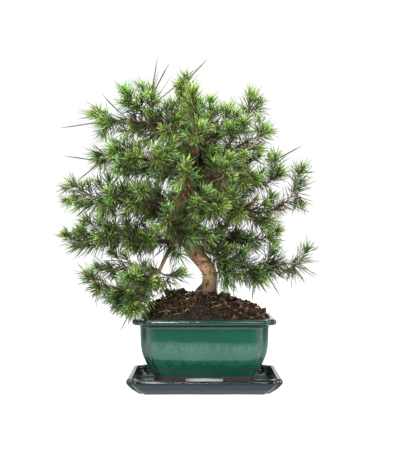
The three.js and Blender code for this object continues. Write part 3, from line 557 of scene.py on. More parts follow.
# the crust: rings from the middle out to the lip, and an underside that goes down into the pot
RINGS, AROUND = 56, 220
draw = np.random.default_rng(7)
angle = np.linspace(0, 2 * math.pi, AROUND, endpoint=False)
rim = (np.abs(np.cos(angle) / SOIL_X) ** 5 + np.abs(np.sin(angle) / SOIL_Y) ** 5) ** -0.2
rim = rim * [1 - 0.05 * abs(noise.noise((4 * math.cos(a), 4 * math.sin(a), 3))) for a in angle]
shares = 1 - (1 - np.linspace(1 / RINGS, 1, RINGS)) ** 1.15
x = SOIL_MIDDLE + np.outer(shares, rim * np.cos(angle))
y = np.outer(shares, rim * np.sin(angle))
top = np.stack([x, y, ground(x, y)], 2)
lip = top[-1] * (1, 1, 0) + (0, 0, LIP_TOP - 0.05)
inner = lip.copy()
inner[:, 0] = (inner[:, 0] * 0.93).clip(-86, 86)
inner[:, 1] = (inner[:, 1] * 0.9).clip(-61, 61)
deep = inner * (0.97, 0.97, 0) + (0, 0, UNDERSIDE)
peak = [SOIL_MIDDLE, 0, float(ground(np.array([float(SOIL_MIDDLE)]), np.array([0.0]))[0])]
places = np.vstack([top.reshape(-1, 3), lip, inner, deep, [peak, [SOIL_MIDDLE, 0, UNDERSIDE]]])
faces = [(ring * AROUND + j, (ring + 1) * AROUND + j, (ring + 1) * AROUND + k, ring * AROUND + k)
         for j, k in zip(range(AROUND), [*range(1, AROUND), 0]) for ring in range(RINGS + 2)]
for j, k in zip(range(AROUND), [*range(1, AROUND), 0]):
    faces.append(((RINGS + 3) * AROUND, j, k))
    faces.append(((RINGS + 3) * AROUND + 1, (RINGS + 2) * AROUND + k, (RINGS + 2) * AROUND + j))
crust = gather("crust", [(places, faces)])
crust.data.shade_smooth()

# what fills the pot below the crust keeps the shape of the solid
compost = bpy.data.objects.new("compost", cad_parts["soil"].data.copy())
bpy.context.scene.collection.objects.link(compost)
bpy.ops.object.select_all(action="DESELECT")
compost.select_set(True)
bpy.context.view_layer.objects.active = compost
bpy.ops.object.mode_set(mode="EDIT")
bpy.ops.mesh.select_all(action="SELECT")
bpy.ops.mesh.remove_doubles(threshold=0.01 * MM)
bpy.ops.mesh.select_all(action="SELECT")
bpy.ops.mesh.bisect(plane_co=(0, 0, 99 * MM), plane_no=(0, 0, 1), use_fill=True, clear_outer=True)
bpy.ops.object.mode_set(mode="OBJECT")
compost.data.materials.clear()
crust.select_set(True)
bpy.ops.object.join()

soil_finish = Finish("compost", **{"Specular IOR Level": 0.15})
crumb = soil_finish.noise(420, 5, (1, 1, 1), 0.7)
clod = soil_finish.noise(110, 3)
damp_tone = soil_finish.mix(soil_finish.step(clod, 0.35, 0.65), tone(13, 10, 7), tone(32, 24, 16))
damp_tone = soil_finish.mix(soil_finish.step(crumb, 0.5, 0.68), damp_tone, tone(54, 41, 29))
mossy = soil_finish.step(soil_finish.part("X") + (clod - 0.5) * 0.09, -0.035, -0.075, 0, 0.75)
damp_tone = soil_finish.mix(mossy * soil_finish.step(crumb, 0.35, 0.5), damp_tone, tone(44, 50, 24))
soil_finish.shine(Base_Color=damp_tone, Roughness=soil_finish.step(crumb, 0.3, 0.7, 0.95, 0.75),
                  Normal=soil_finish.relief(crumb * 1.5 + clod, 0.8, 1))
soil_finish.dress(compost)
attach(compost, "root")
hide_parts("soil")


def model_bit(name, primitive, stretch, rough, seed, **settings):
    """One bark chip or crumb: a small shape with its corners broken off at random."""
    bit = add(name, primitive, **settings)
    bpy.ops.object.mode_set(mode="EDIT")
    bpy.ops.mesh.select_all(action="SELECT")
    if primitive == "primitive_cube_add":
        bpy.ops.mesh.subdivide(number_cuts=1)
    bpy.ops.transform.vertex_random(offset=rough, uniform=1, seed=seed)
    bpy.ops.transform.resize(value=stretch)
    bpy.ops.object.mode_set(mode="OBJECT")
    made = read(bit, "vertices", "co"), [tuple(face.vertices) for face in bit.data.polygons]
    bpy.data.objects.remove(bit)
    return made


CHIPS = [model_bit("chip", "primitive_cube_add", stretch, 0.12, seed, size=1) for seed, stretch in
         enumerate([(1, 0.55, 0.3), (1, 0.4, 0.25), (0.8, 0.7, 0.3), (1, 0.3, 0.3)])]
CRUMBS = [model_bit("crumb", "primitive_ico_sphere_add", (1, 0.8, 0.7), 0.16, seed,
                    subdivisions=1, radius=0.5) for seed in range(3)]
BLADE = [model_bit("moss_blade", "primitive_cone_add", (0.5, 0.5, 1), 0.03, 5,
                   vertices=3, radius1=0.5, depth=1)]


FULL_TURN = 6.28


def strew(shapes, spots, sizes, tilt, colours):
    """Copies of small shapes, each with its own turn, tilt, size and colour."""
    rows = []
    for spot, size, colour in zip(spots, sizes, colours):
        shape, faces = shapes[draw.integers(len(shapes))]
        turn = Euler((draw.normal(0, tilt), draw.normal(0, tilt), draw.uniform(0, FULL_TURN))).to_matrix()
        rows.append(((shape * size) @ np.array(turn).T + spot, faces, colour))
    return rows


def on_soil(count, low, high, reach=0.97):
    """Random places on the mound, from `low` to `high` above it."""
    turn = draw.uniform(0, 2 * math.pi, count)
    away = np.sqrt(draw.uniform(0, reach ** 2, count))
    x = 2 + away * 93 * np.sign(np.cos(turn)) * np.abs(np.cos(turn)) ** 0.6
    y = away * 68 * np.sign(np.sin(turn)) * np.abs(np.sin(turn)) ** 0.6
    return np.stack([x, y, ground(x, y) + draw.uniform(low, high, count)], 1)


def shades(count, dark, pale):
    """Colours from a dark one to a pale one, mostly dark."""
    share = draw.random((count, 1)) ** 2.2
    return np.array(tone(*dark)[:3]) * (1 - share) + np.array(tone(*pale)[:3]) * share


def scatter(shapes, count, lift, sizes, tilt, dark, pale):
    """A number of small shapes strewn over the whole mound."""
    spots = on_soil(count, *lift)
    return strew(shapes, spots, draw.uniform(*sizes, (count, 1)), tilt, shades(count, dark, pale))


chips = scatter(CHIPS, 640, (0, 2.4), (2.8, 9.2), 0.6, (18, 13, 9), (96, 72, 54))
crumbs = scatter(CRUMBS, 2800, (-0.3, 2), (1.3, 4.2), 1, (13, 10, 6), (84, 62, 42))
# x, y, z and size of the largest lumps: a mossy clump of bark left of the trunk, and a few others
LUMPS = np.array([[-38, -8, 142, 17], [-46, -8, 141, 19], [-53, -10, 136, 18], [-33, -2, 141, 14],
                  [28, -6, 136, 14], [34, -2, 134.5, 12], [72, -8, 120, 14], [-84, -20, 113, 15]])
lumps = strew(CHIPS, LUMPS[:, :3], LUMPS[:, 3], 0.7, shades(len(LUMPS), (26, 24, 14), (66, 52, 36)))
FIBRE_RADIUS = 0.38
fibres = []
for spot in on_soil(190, 0.6, 2.8, 0.93):
    turn = draw.uniform(0, FULL_TURN)
    along = np.array([math.cos(turn), math.sin(turn), draw.uniform(-0.1, 0.3)]) * draw.uniform(3, 8)
    sag = draw.normal(0, 1.2, 3)
    spot[2] = max(spot[2], LIP_TOP + 1.7)
    line = smooth_line([spot - along, spot + sag * (1, 1, 0.3) + (0, 0, 1), spot + along], 3)
    fibres.append((*tube(line, np.full(len(line), FIBRE_RADIUS), 3),
                   shades(1, (76, 56, 38), (196, 166, 128))[0]))
litter = gather("bark_chips_and_crumbs", chips + crumbs + lumps + fibres)
litter_finish = Finish("bark chips", **{"Specular IOR Level": 0.15})
fleck = litter_finish.noise(1500, 3)
litter_finish.shine(
    Base_Color=litter_finish.vary(litter_finish.stored("tint", "Color"),
                                  litter_finish.step(fleck, 0.3, 0.7, 0.65, 1.35)),
    Roughness=litter_finish.step(fleck, 0.3, 0.7, 0.9, 0.7))
litter_finish.dress(litter)
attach(litter, "root")

# moss grows left of MOSS_EDGE, further right along the front, and on the clump of bark
MOSS_EDGE, MOSS_BACK, FRONT_STRIP, FRONT_MORE = -48, 50, -42, 34
CLUMP, CLUMP_SPREAD = (-44, -8, 142), (6.5, 3, 2)
spots = on_soil(4200, 0, 0.8)
edge = MOSS_EDGE + (spots[:, 1] < FRONT_STRIP) * FRONT_MORE + draw.normal(0, 16, len(spots))
spots = spots[(spots[:, 0] < edge) & (spots[:, 1] < MOSS_BACK)]
spots = np.vstack([spots, np.array(CLUMP) + draw.normal(0, 1, (260, 3)) * CLUMP_SPREAD])
moss = gather("moss", strew(BLADE, spots, draw.uniform(1.6, 3.6, (len(spots), 1)), 0.5,
                            shades(len(spots), (26, 32, 14), (92, 104, 44))))
moss_finish = Finish("moss")
moss_finish.shine(
    Base_Color=moss_finish.vary(moss_finish.stored("tint", "Color"),
                                moss_finish.step(moss_finish.noise(900, 2), 0.3, 0.7, 0.8, 1.2)),
    Roughness=0.9)
moss_finish.dress(moss)
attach(moss, "root")


# Wood. The trunk bends to the left and back on its way up, with a swollen root at the soil, and
# carries all the branches. It grew as one piece. The bark is pinkish brown and flakes in small
# plates on the trunk. Thin branches are rough with the pegs of fallen needles.

# x, y, z and radius in millimetres, from the root stub to the leader
TRUNK = [
    [4, 0, 94, 12], [4, 0, 114, 15], [3, 0, 127, 19], [3, 0, 137, 18], [4.5, 0, 143, 15.4],
    [7, 0, 151, 11.9], [8, 0, 167, 10.9], [2, 1, 181, 11.3], [-8.5, 2, 193, 11.2], [-18, 4, 205, 10.8],
    [-27, 5, 221, 9.8], [-32, 5, 239, 8.4], [-31, 4, 259, 7.8], [-26, 0, 278, 7.2], [-15, -4, 297, 6.6],
    [-5, -6, 318, 6], [-2, -4, 340, 5.4], [-6, 2, 363, 4.6], [-15, 6, 384, 3.9], [-24, 6, 405, 3.2],
    [-27, 4, 424, 2.4],
]

# how thick each branch starts and ends, and the points that it passes
BRANCHES = {
    "low_left": (5, 2.2, [[-29, 5, 232], [-42, -2, 218], [-55, -10, 198], [-68, -18, 171],
        [-84, -28, 155], [-108, -38, 147], [-128, -44, 146]]),
    "low_left_upper": (3, 2, [[-68, -18, 171], [-95, -8, 175], [-120, 2, 176]]),
    "left": (5, 2.2, [[-29, 5, 226], [-44, 4, 219], [-66, 8, 217], [-97, 14, 220],
        [-127, 16, 220], [-148, 14, 218]]),
    "mid_left": (4.6, 2.2, [[-30, 4, 254], [-58, -8, 266], [-87, -16, 271], [-117, -18, 276],
        [-148, -14, 279]]),
    "up_left": (4.2, 2, [[-11, -4, 305], [-36, -16, 321], [-65, -26, 330], [-94, -30, 338],
        [-122, -28, 343]]),
    "high_left": (3.6, 2, [[-3, 0, 350], [-29, 8, 370], [-59, 16, 384], [-85, 20, 393], [-109, 20, 399]]),
    "high_right": (3.2, 1.9, [[-6, 2, 360], [16, 6, 377], [38, 6, 387], [59, 2, 396]]),
    "up_right": (3.8, 1.9, [[-3, -5, 330], [23, -20, 342], [46, -30, 353], [61, -34, 361]]),
    "mid_right": (4, 2, [[-9, -4, 306], [16, 4, 309], [46, 12, 310], [69, 16, 309], [87, 16, 306]]),
    "right": (4.6, 2, [[-26, 0, 273], [1, -10, 273], [30, -18, 268], [60, -22, 264],
        [80, -22, 259], [101, -24, 262], [114, -25, 271]]),
    "low_right": (4.4, 2, [[-27, 5, 233], [-6, 12, 229], [24, 20, 221], [54, 24, 215], [77, 24, 218]]),
    "lowest_right": (4.4, 1.9, [[-22, 5, 216], [-2, -4, 206], [23, -12, 192], [50, -16, 182],
        [84, -22, 179], [103, -26, 184]]),
    "front_low": (3.8, 2, [[-29, 5, 239], [-35, -25, 236], [-42, -55, 238], [-46, -80, 242]]),
    "front_mid": (3.6, 1.9, [[-24, 0, 283], [-22, -30, 288], [-24, -60, 298], [-26, -85, 305]]),
    "front_centre": (3.6, 1.9, [[-27, 0, 272], [-18, -40, 264], [-13, -75, 262]]),
    "front_right": (3.4, 1.9, [[-9, -4, 305], [5, -30, 304], [18, -58, 305], [25, -78, 308]]),
    "front_high": (3.2, 1.8, [[-2, -4, 344], [-6, -30, 352], [-10, -55, 359]]),
    "back_low": (3.8, 2, [[-28, 5, 244], [-25, 35, 243], [-20, 70, 246], [-18, 95, 250]]),
    "back_left": (3.6, 1.9, [[-30, 4, 262], [-55, 30, 268], [-80, 55, 274], [-98, 72, 278]]),
    "back_right": (3.6, 1.9, [[-22, 0, 286], [10, 35, 280], [38, 60, 272], [55, 75, 270]]),
    "back_mid": (3.6, 1.9, [[-14, -4, 299], [-10, 30, 304], [-3, 62, 308], [0, 85, 311]]),
    "back_high": (3.2, 1.8, [[-3, -4, 341], [-12, 30, 352], [-20, 58, 362]]),
}


def settle(ob, name, kind, **settings):
    """Adds a modifier and applies it."""
    change = ob.modifiers.new(name, kind)
    for field, value in settings.items():
        setattr(change, field, value)
    bpy.ops.object.select_all(action="DESELECT")
    ob.select_set(True)
    bpy.context.view_layer.objects.active = ob
    bpy.ops.object.modifier_apply(modifier=name)


lines = {"trunk": smooth_line(TRUNK, 2)}
limbs = []
spine = lines["trunk"]
TRUNK_SIDES, BRANCH_SIDES = 40, 14
angle = np.linspace(0, 2 * math.pi, TRUNK_SIDES, endpoint=False)
# five root lobes swell the base
ROOT_LOBES, LOBE_SWELL, ROOT_HEIGHT, ROOT_REACH = 5, 0.2, 124, 15
near_root = np.exp(-((spine[:, 2] - ROOT_HEIGHT) / ROOT_REACH) ** 2)
swell = 1 + LOBE_SWELL * near_root[:, None] * np.cos(ROOT_LOBES * angle + 0.6)[None]
places, faces = tube(spine[:, :3], spine[:, 3], TRUNK_SIDES)
middle = np.repeat(spine[:, :3], TRUNK_SIDES, axis=0)
places[:-2] = middle + (places[:-2] - middle) * swell.reshape(-1, 1)
limbs.append((places, faces))
for name, (start, end, run) in BRANCHES.items():
    line = smooth_line(run, 2)
    share = np.linspace(0, 1, len(line))
    radius = 0.78 * (start + (end - start) * share ** 0.8)
    # a collar where the branch leaves the wood that it grew from
    radius = radius * (1 + 0.3 * np.exp(-((share * len(line) * 2 - 6) / 7) ** 2))
    lines[name] = np.column_stack([line, radius])
    limbs.append(tube(line, radius, BRANCH_SIDES))
wood = gather("wood", limbs)
settle(wood, "grow", "REMESH", mode="VOXEL", voxel_size=1.15 * MM)
settle(wood, "even", "SMOOTH", factor=0.5, iterations=2)

tree = np.vstack(list(lines.values()))
near = kdtree.KDTree(len(tree))
for i, spot in enumerate(tree):
    near.insert(spot[:3], i)
near.balance()
places = read(wood, "vertices", "co") / MM
normals = read(wood, "vertices", "normal")
girth = np.array([tree[near.find(p)[1]][3] for p in places])
# thick wood has bark plates taller than wide, and thin wood the pegs of its fallen needles
lift = np.empty(len(places))
for i, (spot, thick) in enumerate(zip(places, girth)):
    old = min(1, max(0, (thick - 3) / 5))
    at = Vector((spot[0] / 3.4, spot[1] / 3.4, spot[2] / 6.5))
    edges = noise.voronoi(at)[0]
    plates = min(0.35, edges[1] - edges[0]) / 0.35
    coarse = noise.fractal(Vector(spot) / 9, 1, 2, 3)
    pegs = max(0, noise.noise(Vector(spot) / 1.3))
    lift[i] = old * (0.45 * plates + 0.7 * coarse - 0.3) + (1 - old) * (0.5 * pegs + 0.25 * coarse)
wood.data.vertices.foreach_set("co", ((places + normals * lift[:, None]) * MM).ravel())
for field, values in (("girth", ((girth - 2) / 8).clip(0, 1)), ("raised", (0.5 + 0.5 * lift).clip(0, 1))):
    store = wood.data.attributes.new(field, "FLOAT", "POINT")
    store.data.foreach_set("value", values.astype(np.float32))
soften(wood, 60)

bark = Finish("bark")
girth = bark.stored("girth")
raised = bark.stored("raised")
fleck = bark.noise(700, 5, (1, 1, 0.5), 0.65)
patch = bark.noise(90, 4, (1, 1, 0.6))
colour = bark.mix(bark.step(patch, 0.3, 0.7), tone(182, 134, 102), tone(230, 188, 154))
colour = bark.mix(bark.step(raised + (fleck - 0.5) * 0.5, 0.5, 0.26), colour, tone(84, 56, 38))
colour = bark.mix(bark.step(fleck, 0.6, 0.72, 0, 0.75), colour, tone(74, 56, 40))
young = bark.mix(bark.step(fleck, 0.35, 0.65), tone(108, 82, 56), tone(150, 120, 86))
colour = bark.mix(bark.step(girth + (patch - 0.5) * 0.3, 0.2, 0.75), young, colour)
# the upper trunk is painted darker and greener: green algae, and painted shade from the crown; and damp at
# the soil
algae_and_crown_shade = bark.step(bark.part("Z") + (patch - 0.5) * 0.05, 0.18, 0.21, 0, 0.88)
colour = bark.mix(algae_and_crown_shade, colour, tone(84, 76, 40))
damp = bark.step(bark.part("Z") + (patch - 0.5) * 0.02, 0.17, 0.136, 0, 0.88)
colour = bark.mix(damp, colour, bark.mix(bark.step(patch, 0.4, 0.6), tone(60, 44, 30), tone(52, 54, 26)))
bark.shine(Base_Color=colour, Roughness=bark.step(fleck, 0.3, 0.8, 0.78, 0.95),
           Normal=bark.relief(fleck + patch, 0.3, 0.8))
bark.dress(wood)
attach(wood, "root")
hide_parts("trunk_and_branches")


# Leafy stems. Each spray is a twig with its side twigs, closely set with needles all round. Older
# needles are dark, long and lean out or hang, and young ones at the tips are bright green and
# point forward. A few tips carry long thin grown-up needles. Each needle grows from the twig.

# branch, share of its length where the spray leaves it, length of its grown-up needles if it
# has any, and its stems: the leader first, then those that fork from it
SPRAYS = [
    ("trunk", 1, 30, [[[-27, 5, 466]], [[-34, 22, 452]]]),
    ("trunk", 0.86, 0, [[[-16, -22, 396], [-14, -50, 426]]]),
    ("high_left", 1, 32, [[[-140, 22, 399], [-176, 20, 412]], [[-157, 0, 374]]]),
    ("high_left", 0.84, 0, [[[-104, 14, 420], [-125, 10, 452]], [[-128, 38, 432]]]),
    ("high_left", 0.7, 54, [[[-78, 8, 415], [-80, 0, 442]], [[-97, 26, 459]]]),
    ("high_left", 0.4, 0, [[[-50, -30, 374], [-59, -75, 376]], [[-36, -55, 398]]]),
    ("high_left", 0.55, 0, [[[-66, 45, 396], [-78, 76, 412]], [[-104, 62, 392]]]),
    ("high_right", 0.45, 0, [[[9, 0, 408], [10, -5, 436]], [[24, 14, 418]]]),
    ("high_right", 0.75, 0, [[[38, 22, 405], [38, 30, 428]], [[52, 40, 392]]]),
    ("high_right", 1, 34, [[[66, 1, 415], [73, 0, 445]], [[88, 20, 418]]]),
    ("up_right", 1, 0, [[[75, -38, 368], [98, -40, 384]], [[90, -16, 392]]]),
    ("up_right", 0.7, 0, [[[50, -46, 374], [58, -60, 396]], [[28, -70, 382]]]),
    ("mid_right", 0.8, 0, [[[66, 14, 334], [90, 10, 360]], [[62, 36, 352]]]),
    ("mid_right", 1, 30, [[[104, 10, 312], [120, 2, 324]], [[111, 30, 354]]]),
    ("mid_right", 0.62, 0, [[[52, -35, 304], [60, -74, 301]], [[80, -52, 312]]]),
    ("mid_right", 0.5, 0, [[[48, 48, 318], [66, 78, 326]], [[86, 62, 306]]]),
    ("right", 1, 34, [[[133, -26, 292], [139, -25, 330]], [[148, -12, 268]]]),
    ("right", 0.64, 0, [[[84, -40, 246], [92, -62, 240]], [[104, 4, 246]]]),
    ("right", 0.3, 0, [[[10, -62, 268], [23, -116, 264]], [[-4, -92, 250]]]),
    ("right", 0.45, 0, [[[42, -60, 262], [50, -98, 256]], [[40, -88, 290]]]),
    ("low_right", 1, 28, [[[98, 22, 226], [117, 20, 238]], [[111, 40, 212]]]),
    ("low_right", 0.7, 0, [[[52, 52, 220], [66, 82, 224]], [[88, 62, 206]]]),
    ("lowest_right", 1, 0, [[[136, -30, 184], [154, -30, 214]], [[134, -10, 170]]]),
    ("lowest_right", 0.62, 32, [[[64, -40, 172], [52, -76, 170]], [[92, -52, 164]]]),
    ("lowest_right", 0.4, 26, [[[30, -32, 168], [34, -42, 148]], [[6, -30, 158]]]),
    ("lowest_right", 0.5, 0, [[[46, -38, 196], [56, -60, 206]]]),
    ("low_left", 1, 0, [[[-156, -42, 158], [-177, -40, 177]], [[-154, -60, 140]]]),
    ("low_left", 0.86, 30, [[[-122, -54, 140], [-134, -62, 128]], [[-96, -84, 128]]]),
    ("low_left", 0.66, 28, [[[-94, -62, 160], [-113, -95, 168]], [[-78, -74, 148]]]),
    ("low_left", 0.5, 0, [[[-45, -28, 165], [-25, -34, 173]], [[-64, -2, 144]]]),
    ("low_left_upper", 1, 0, [[[-146, 6, 174], [-167, 10, 183]], [[-140, 40, 172]]]),
    ("left", 1, 0, [[[-190, 12, 217], [-216, 10, 231]], [[-188, 34, 240]]]),
    ("left", 0.8, 0, [[[-138, -26, 222], [-156, -60, 222]], [[-130, -60, 238]]]),
    ("left", 0.55, 0, [[[-94, -32, 214], [-112, -74, 212]], [[-80, -64, 226]]]),
    ("left", 0.66, 0, [[[-112, 52, 222], [-128, 84, 230]], [[-96, 80, 212]]]),
    ("mid_left", 1, 0, [[[-178, -12, 290], [-203, -10, 308]], [[-200, -32, 275]]]),
    ("mid_left", 0.75, 0, [[[-124, -50, 276], [-134, -82, 280]], [[-152, -62, 256]]]),
    ("mid_left", 0.5, 0, [[[-86, -64, 280], [-87, -116, 292]], [[-106, -96, 268]]]),
    ("up_left", 1, 34, [[[-144, -28, 343], [-166, -30, 346]], [[-158, -8, 330]]]),
    ("up_left", 0.78, 0, [[[-108, -58, 326], [-128, -86, 318]], [[-94, -92, 338]]]),
    ("up_left", 0.42, 0, [[[-60, -66, 330], [-67, -112, 336]], [[-48, -92, 350]]]),
    ("front_low", 1, 0, [[[-49, -98, 246], [-51, -118, 250]], [[-72, -104, 234]]]),
    ("front_low", 0.6, 0, [[[-22, -74, 226], [-16, -94, 220]], [[14, -92, 224]]]),
    ("front_mid", 1, 0, [[[-27, -105, 311], [-28, -124, 317]], [[-42, -104, 288]]]),
    ("front_centre", 1, 0, [[[-10, -102, 264], [-12, -122, 266]], [[4, -124, 290]]]),
    ("front_right", 1, 0, [[[28, -98, 314], [30, -114, 328]], [[48, -90, 340]]]),
    ("front_high", 1, 0, [[[-11, -82, 364], [-11, -106, 362]], [[-2, -84, 388]]]),
    ("back_low", 1, 0, [[[-18, 112, 253], [-20, 132, 258]], [[-52, 112, 238]]]),
    ("back_left", 1, 0, [[[-114, 82, 282], [-130, 94, 290]], [[-98, 108, 304]]]),
    ("back_left", 0.55, 0, [[[-62, 68, 258], [-62, 98, 252]], [[-84, 66, 300]]]),
    ("back_right", 1, 0, [[[66, 88, 272], [78, 104, 278]], [[42, 114, 258]]]),
    ("back_mid", 1, 0, [[[0, 108, 316], [2, 128, 320]], [[34, 104, 332]]]),
    ("back_mid", 0.55, 0, [[[18, 62, 296], [40, 84, 298]], [[32, 68, 330]]]),
    ("back_high", 1, 0, [[[-25, 86, 374], [-30, 112, 388]], [[8, 90, 382]]]),
]


def model_needle():
    """A needle one unit long and 0.83 wide: a three-sided spike, a little thinner at its foot."""
    shoulder = 0.7
    needle = add("needle", "primitive_cone_add", vertices=3, radius1=0.4, radius2=0, depth=1,
                 location=(0, 0, 0.5))
    bpy.ops.object.transform_apply(location=True, rotation=True, scale=True)
    bpy.ops.object.mode_set(mode="EDIT")
    bpy.ops.mesh.select_all(action="SELECT")
    bpy.ops.mesh.bisect(plane_co=(0, 0, shoulder), plane_no=(0, 0, 1))
    pick(needle, "verts", lambda p: abs(p.z - shoulder) < 1e-4)
    bpy.ops.transform.resize(value=(4, 4, 1), center_override=(0, 0, shoulder))
    bpy.ops.object.mode_set(mode="OBJECT")
    spots = read(needle, "vertices", "co")
    sheets = [tuple(face.vertices) for face in needle.data.polygons]
    # on the map the three sides lie next to each other, with the foot in a strip below them
    margin, pitch, half, base, tall = 0.05, 0.31, 0.14, 0.06, 0.88
    cell = []
    for sheet in sheets:
        middle = spots[list(sheet)].mean(0)
        if middle[2] < 0.01:
            cell.extend(((margin, 0.01), (1 - margin, 0.01), (0.5, 0.04)))
            continue
        facing = math.atan2(middle[1], middle[0])
        strip = margin + pitch * round(facing / (2 * math.pi / 3) + 0.25) % 3
        for x, y, z in spots[list(sheet)]:
            turn = (math.atan2(y, x) - facing + math.pi) % (2 * math.pi) - math.pi
            aside = math.copysign(half, turn) if z < 0.99 else 0
            cell.append((strip + half + aside, base + tall * z))
    bpy.data.objects.remove(needle)
    return spots, sheets, np.array(cell)


NEEDLE, NEEDLE_FACES, NEEDLE_MAP = model_needle()
OLD, MIDDLE, YOUNG, DEAD = [np.array(tone(*c)[:3]) for c in
                            ((56, 74, 42), (94, 120, 54), (130, 164, 72), (128, 90, 58))]
# each needle leaves its twig this far round from the one before, in radians
GOLDEN_TURN = 2.39996
# the box that the tips of needles keep to: that of the solids, with 6 to 11 mm round it
FREE = [np.array(corner) / MM + gap for corner, gap in zip(cad_box, ((-8, -6, -6), (6, 6, 11)))]
# the bare trunk, seen from the front: up to where, round which x, and how far to the sides and back
BARE_TO, BARE_MIDDLE, BARE_HALF, BARE_BACK = 197, 3, 11, 10


class Leaves:
    """Needles gathered for one piece, in millimetres."""

    def __init__(self, seed):
        self.draw = np.random.default_rng(seed)
        self.rows = []
        self.vigour = 0
        self.cast = 1

    def clothe(self, line, bare, per_mm, lengths, leans, ages, hang=0.16, wide=1.2, dead=0.0):
        """Sets needles along a line from `bare` to its end. Triples give the foot, middle and end."""
        draw = self.draw
        way, side, third = frames(line)
        run = np.r_[0, np.cumsum(np.linalg.norm(np.diff(line, axis=0), axis=1))]
        count = max(3, int((run[-1] - bare) * per_mm))
        share = (np.arange(count) + draw.random(count)) / count
        # a little closer together towards the tip
        share = 1 - (1 - share) ** 1.3
        at = bare + (run[-1] - bare) * share
        foot, way, side, third = [np.stack([np.interp(at, run, column) for column in rows.T], 1)
                                  for rows in (line, way, side, third)]
        turn = np.arange(count) * GOLDEN_TURN + draw.normal(0, 0.35, count)
        out = side * np.cos(turn)[:, None] + third * np.sin(turn)[:, None]
        lean, length, age = [np.interp(share, (0, 0.5, 1), triple) for triple in (leans, lengths, ages)]
        lean = lean + draw.normal(0, 0.13, count)
        length = length * draw.uniform(0.7, 1.25, count)
        goes = way * np.cos(lean)[:, None] + out * np.sin(lean)[:, None]
        # the sunny top is brighter than the low branches
        age = age + draw.normal(0, 0.1, count) + (line[-1][2] - 300) / 1300 + self.vigour
        goes[:, 2] -= hang * (1 - age.clip(0, 1)) * draw.uniform(0.3, 1.4, count)
        goes /= np.linalg.norm(goes, axis=1)[:, None]
        bend = (way - goes) * (length * draw.uniform(0.02, 0.2, count))[:, None]
        bend[:, 2] -= length * 0.09 * (1 - age.clip(0, 1))
        self.add(foot, goes, bend, length, wide * draw.uniform(0.8, 1.15, count), age, dead)

    def add(self, foot, goes, bend, length, wide, age, dead=0.0):
        """Sets one needle for each row. An age of 0 is old and dark, and 1 is young and bright."""
        draw = self.draw
        tip = foot + goes * length[:, None] + bend
        x, y, z = tip.T
        # no tip lies in the soil or the lip, or in front of the bare trunk
        over_pot = (abs(x) < POT["half_x"] + 1) & (abs(y) < POT["half_y"] + 1)
        keep = ~(over_pot & (z < soil_height(x, y) + 1))
        keep &= (z > BARE_TO) | (abs(x - BARE_MIDDLE) > BARE_HALF) | (y > BARE_BACK)
        keep &= ((tip > FREE[0]) & (tip < FREE[1])).all(1)
        young = 2 * age.clip(0, 1)[:, None]
        colour = OLD + (MIDDLE - OLD) * young.clip(0, 1) + (YOUNG - MIDDLE) * (young - 1).clip(0, 1)
        # each needle is darker or paler at random, and the palest stand in for glints of light on single
        # needles, as painted highlights
        bright = np.exp(draw.normal(0, 0.38, (len(foot), 1))).clip(0.4, 2.3)
        colour = colour * bright * draw.normal(1, 0.06, (len(foot), 3)) * self.cast
        brown = draw.random(len(foot)) < dead
        colour[brown] = DEAD * draw.uniform(0.6, 1.3, (brown.sum(), 1))
        self.rows.append([rows[keep] for rows in (foot, goes, bend, length, wide, colour)])

    def make(self, name, finish):
        """One piece of all needles that were set."""
        foot, goes, bend, length, wide, colour = [np.concatenate(rows) for rows in zip(*self.rows)]
        across = np.cross(goes, self.draw.normal(size=foot.shape))
        across /= np.linalg.norm(across, axis=1)[:, None]
        third = np.cross(goes, across)
        x, y, z = NEEDLE.T
        foot, goes, bend, across, third = [rows[:, None] for rows in (foot, goes, bend, across, third)]
        length, wide = length[:, None, None], wide[:, None, None]
        x, y, z = x[None, :, None], y[None, :, None], z[None, :, None]
        places = foot + goes * z * length + bend * z ** 2 + across * x * wide + third * y * wide
        count, corners = places.shape[:2]
        mesh = bpy.data.meshes.new(name)
        faces = [tuple(corner + i * corners for corner in sheet)
                 for i in range(count) for sheet in NEEDLE_FACES]
        mesh.from_pydata((places.reshape(-1, 3) * MM).tolist(), [], faces)
        tint = colour[:, None] * (0.78 + 0.34 * z)
        tint = np.concatenate([tint, np.ones((count, corners, 1))], 2)
        store = mesh.color_attributes.new("tint", "FLOAT_COLOR", "POINT")
        store.data.foreach_set("color", tint.astype(np.float32).ravel())
        # each needle has a cell of its own on its map
        grid = math.ceil(math.sqrt(count))
        slots = np.stack([np.arange(count) % grid, np.arange(count) // grid], 1)[:, None]
        maps = mesh.uv_layers.new(name="OFBake")
        maps.uv.foreach_set("vector", ((slots + NEEDLE_MAP[None]) / grid).astype(np.float32).ravel())
        made = bpy.data.objects.new(name, mesh)
        bpy.context.scene.collection.objects.link(made)
        mesh.shade_smooth()
        finish.dress(made)
        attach(made, "root")
        return made


needle_finish = Finish("needles", **{"Specular IOR Level": 0.5})
tint = needle_finish.stored("tint", "Color")
streak = needle_finish.noise(2600, 2)
needle_finish.shine(
    Base_Color=needle_finish.vary(tint, needle_finish.step(streak, 0.3, 0.7, 0.88, 1.14)),
    Roughness=needle_finish.step(streak, 0.3, 0.8, 0.35, 0.5))

# each twig's line, and its radius at the foot
twigs = []
THICK_TWIG, THIN_TWIG, TWIG_END, LONG_TWIG = 1.35, 1.0, 0.55, 40
# length, lean and age of needles at the foot, middle and end of a common shoot and its tip tuft
NEEDLES, LEANS, AGES = (24, 27, 21), (1.0, 0.85, 0.6), (0.0, 0.3, 0.75)
TUFT, TUFT_LEANS, TUFT_AGES = (18, 16, 12), (0.66, 0.44, 0.14), (0.6, 0.85, 1.1)


def length_of(line):
    return float(np.linalg.norm(np.diff(line, axis=0), axis=1).sum())


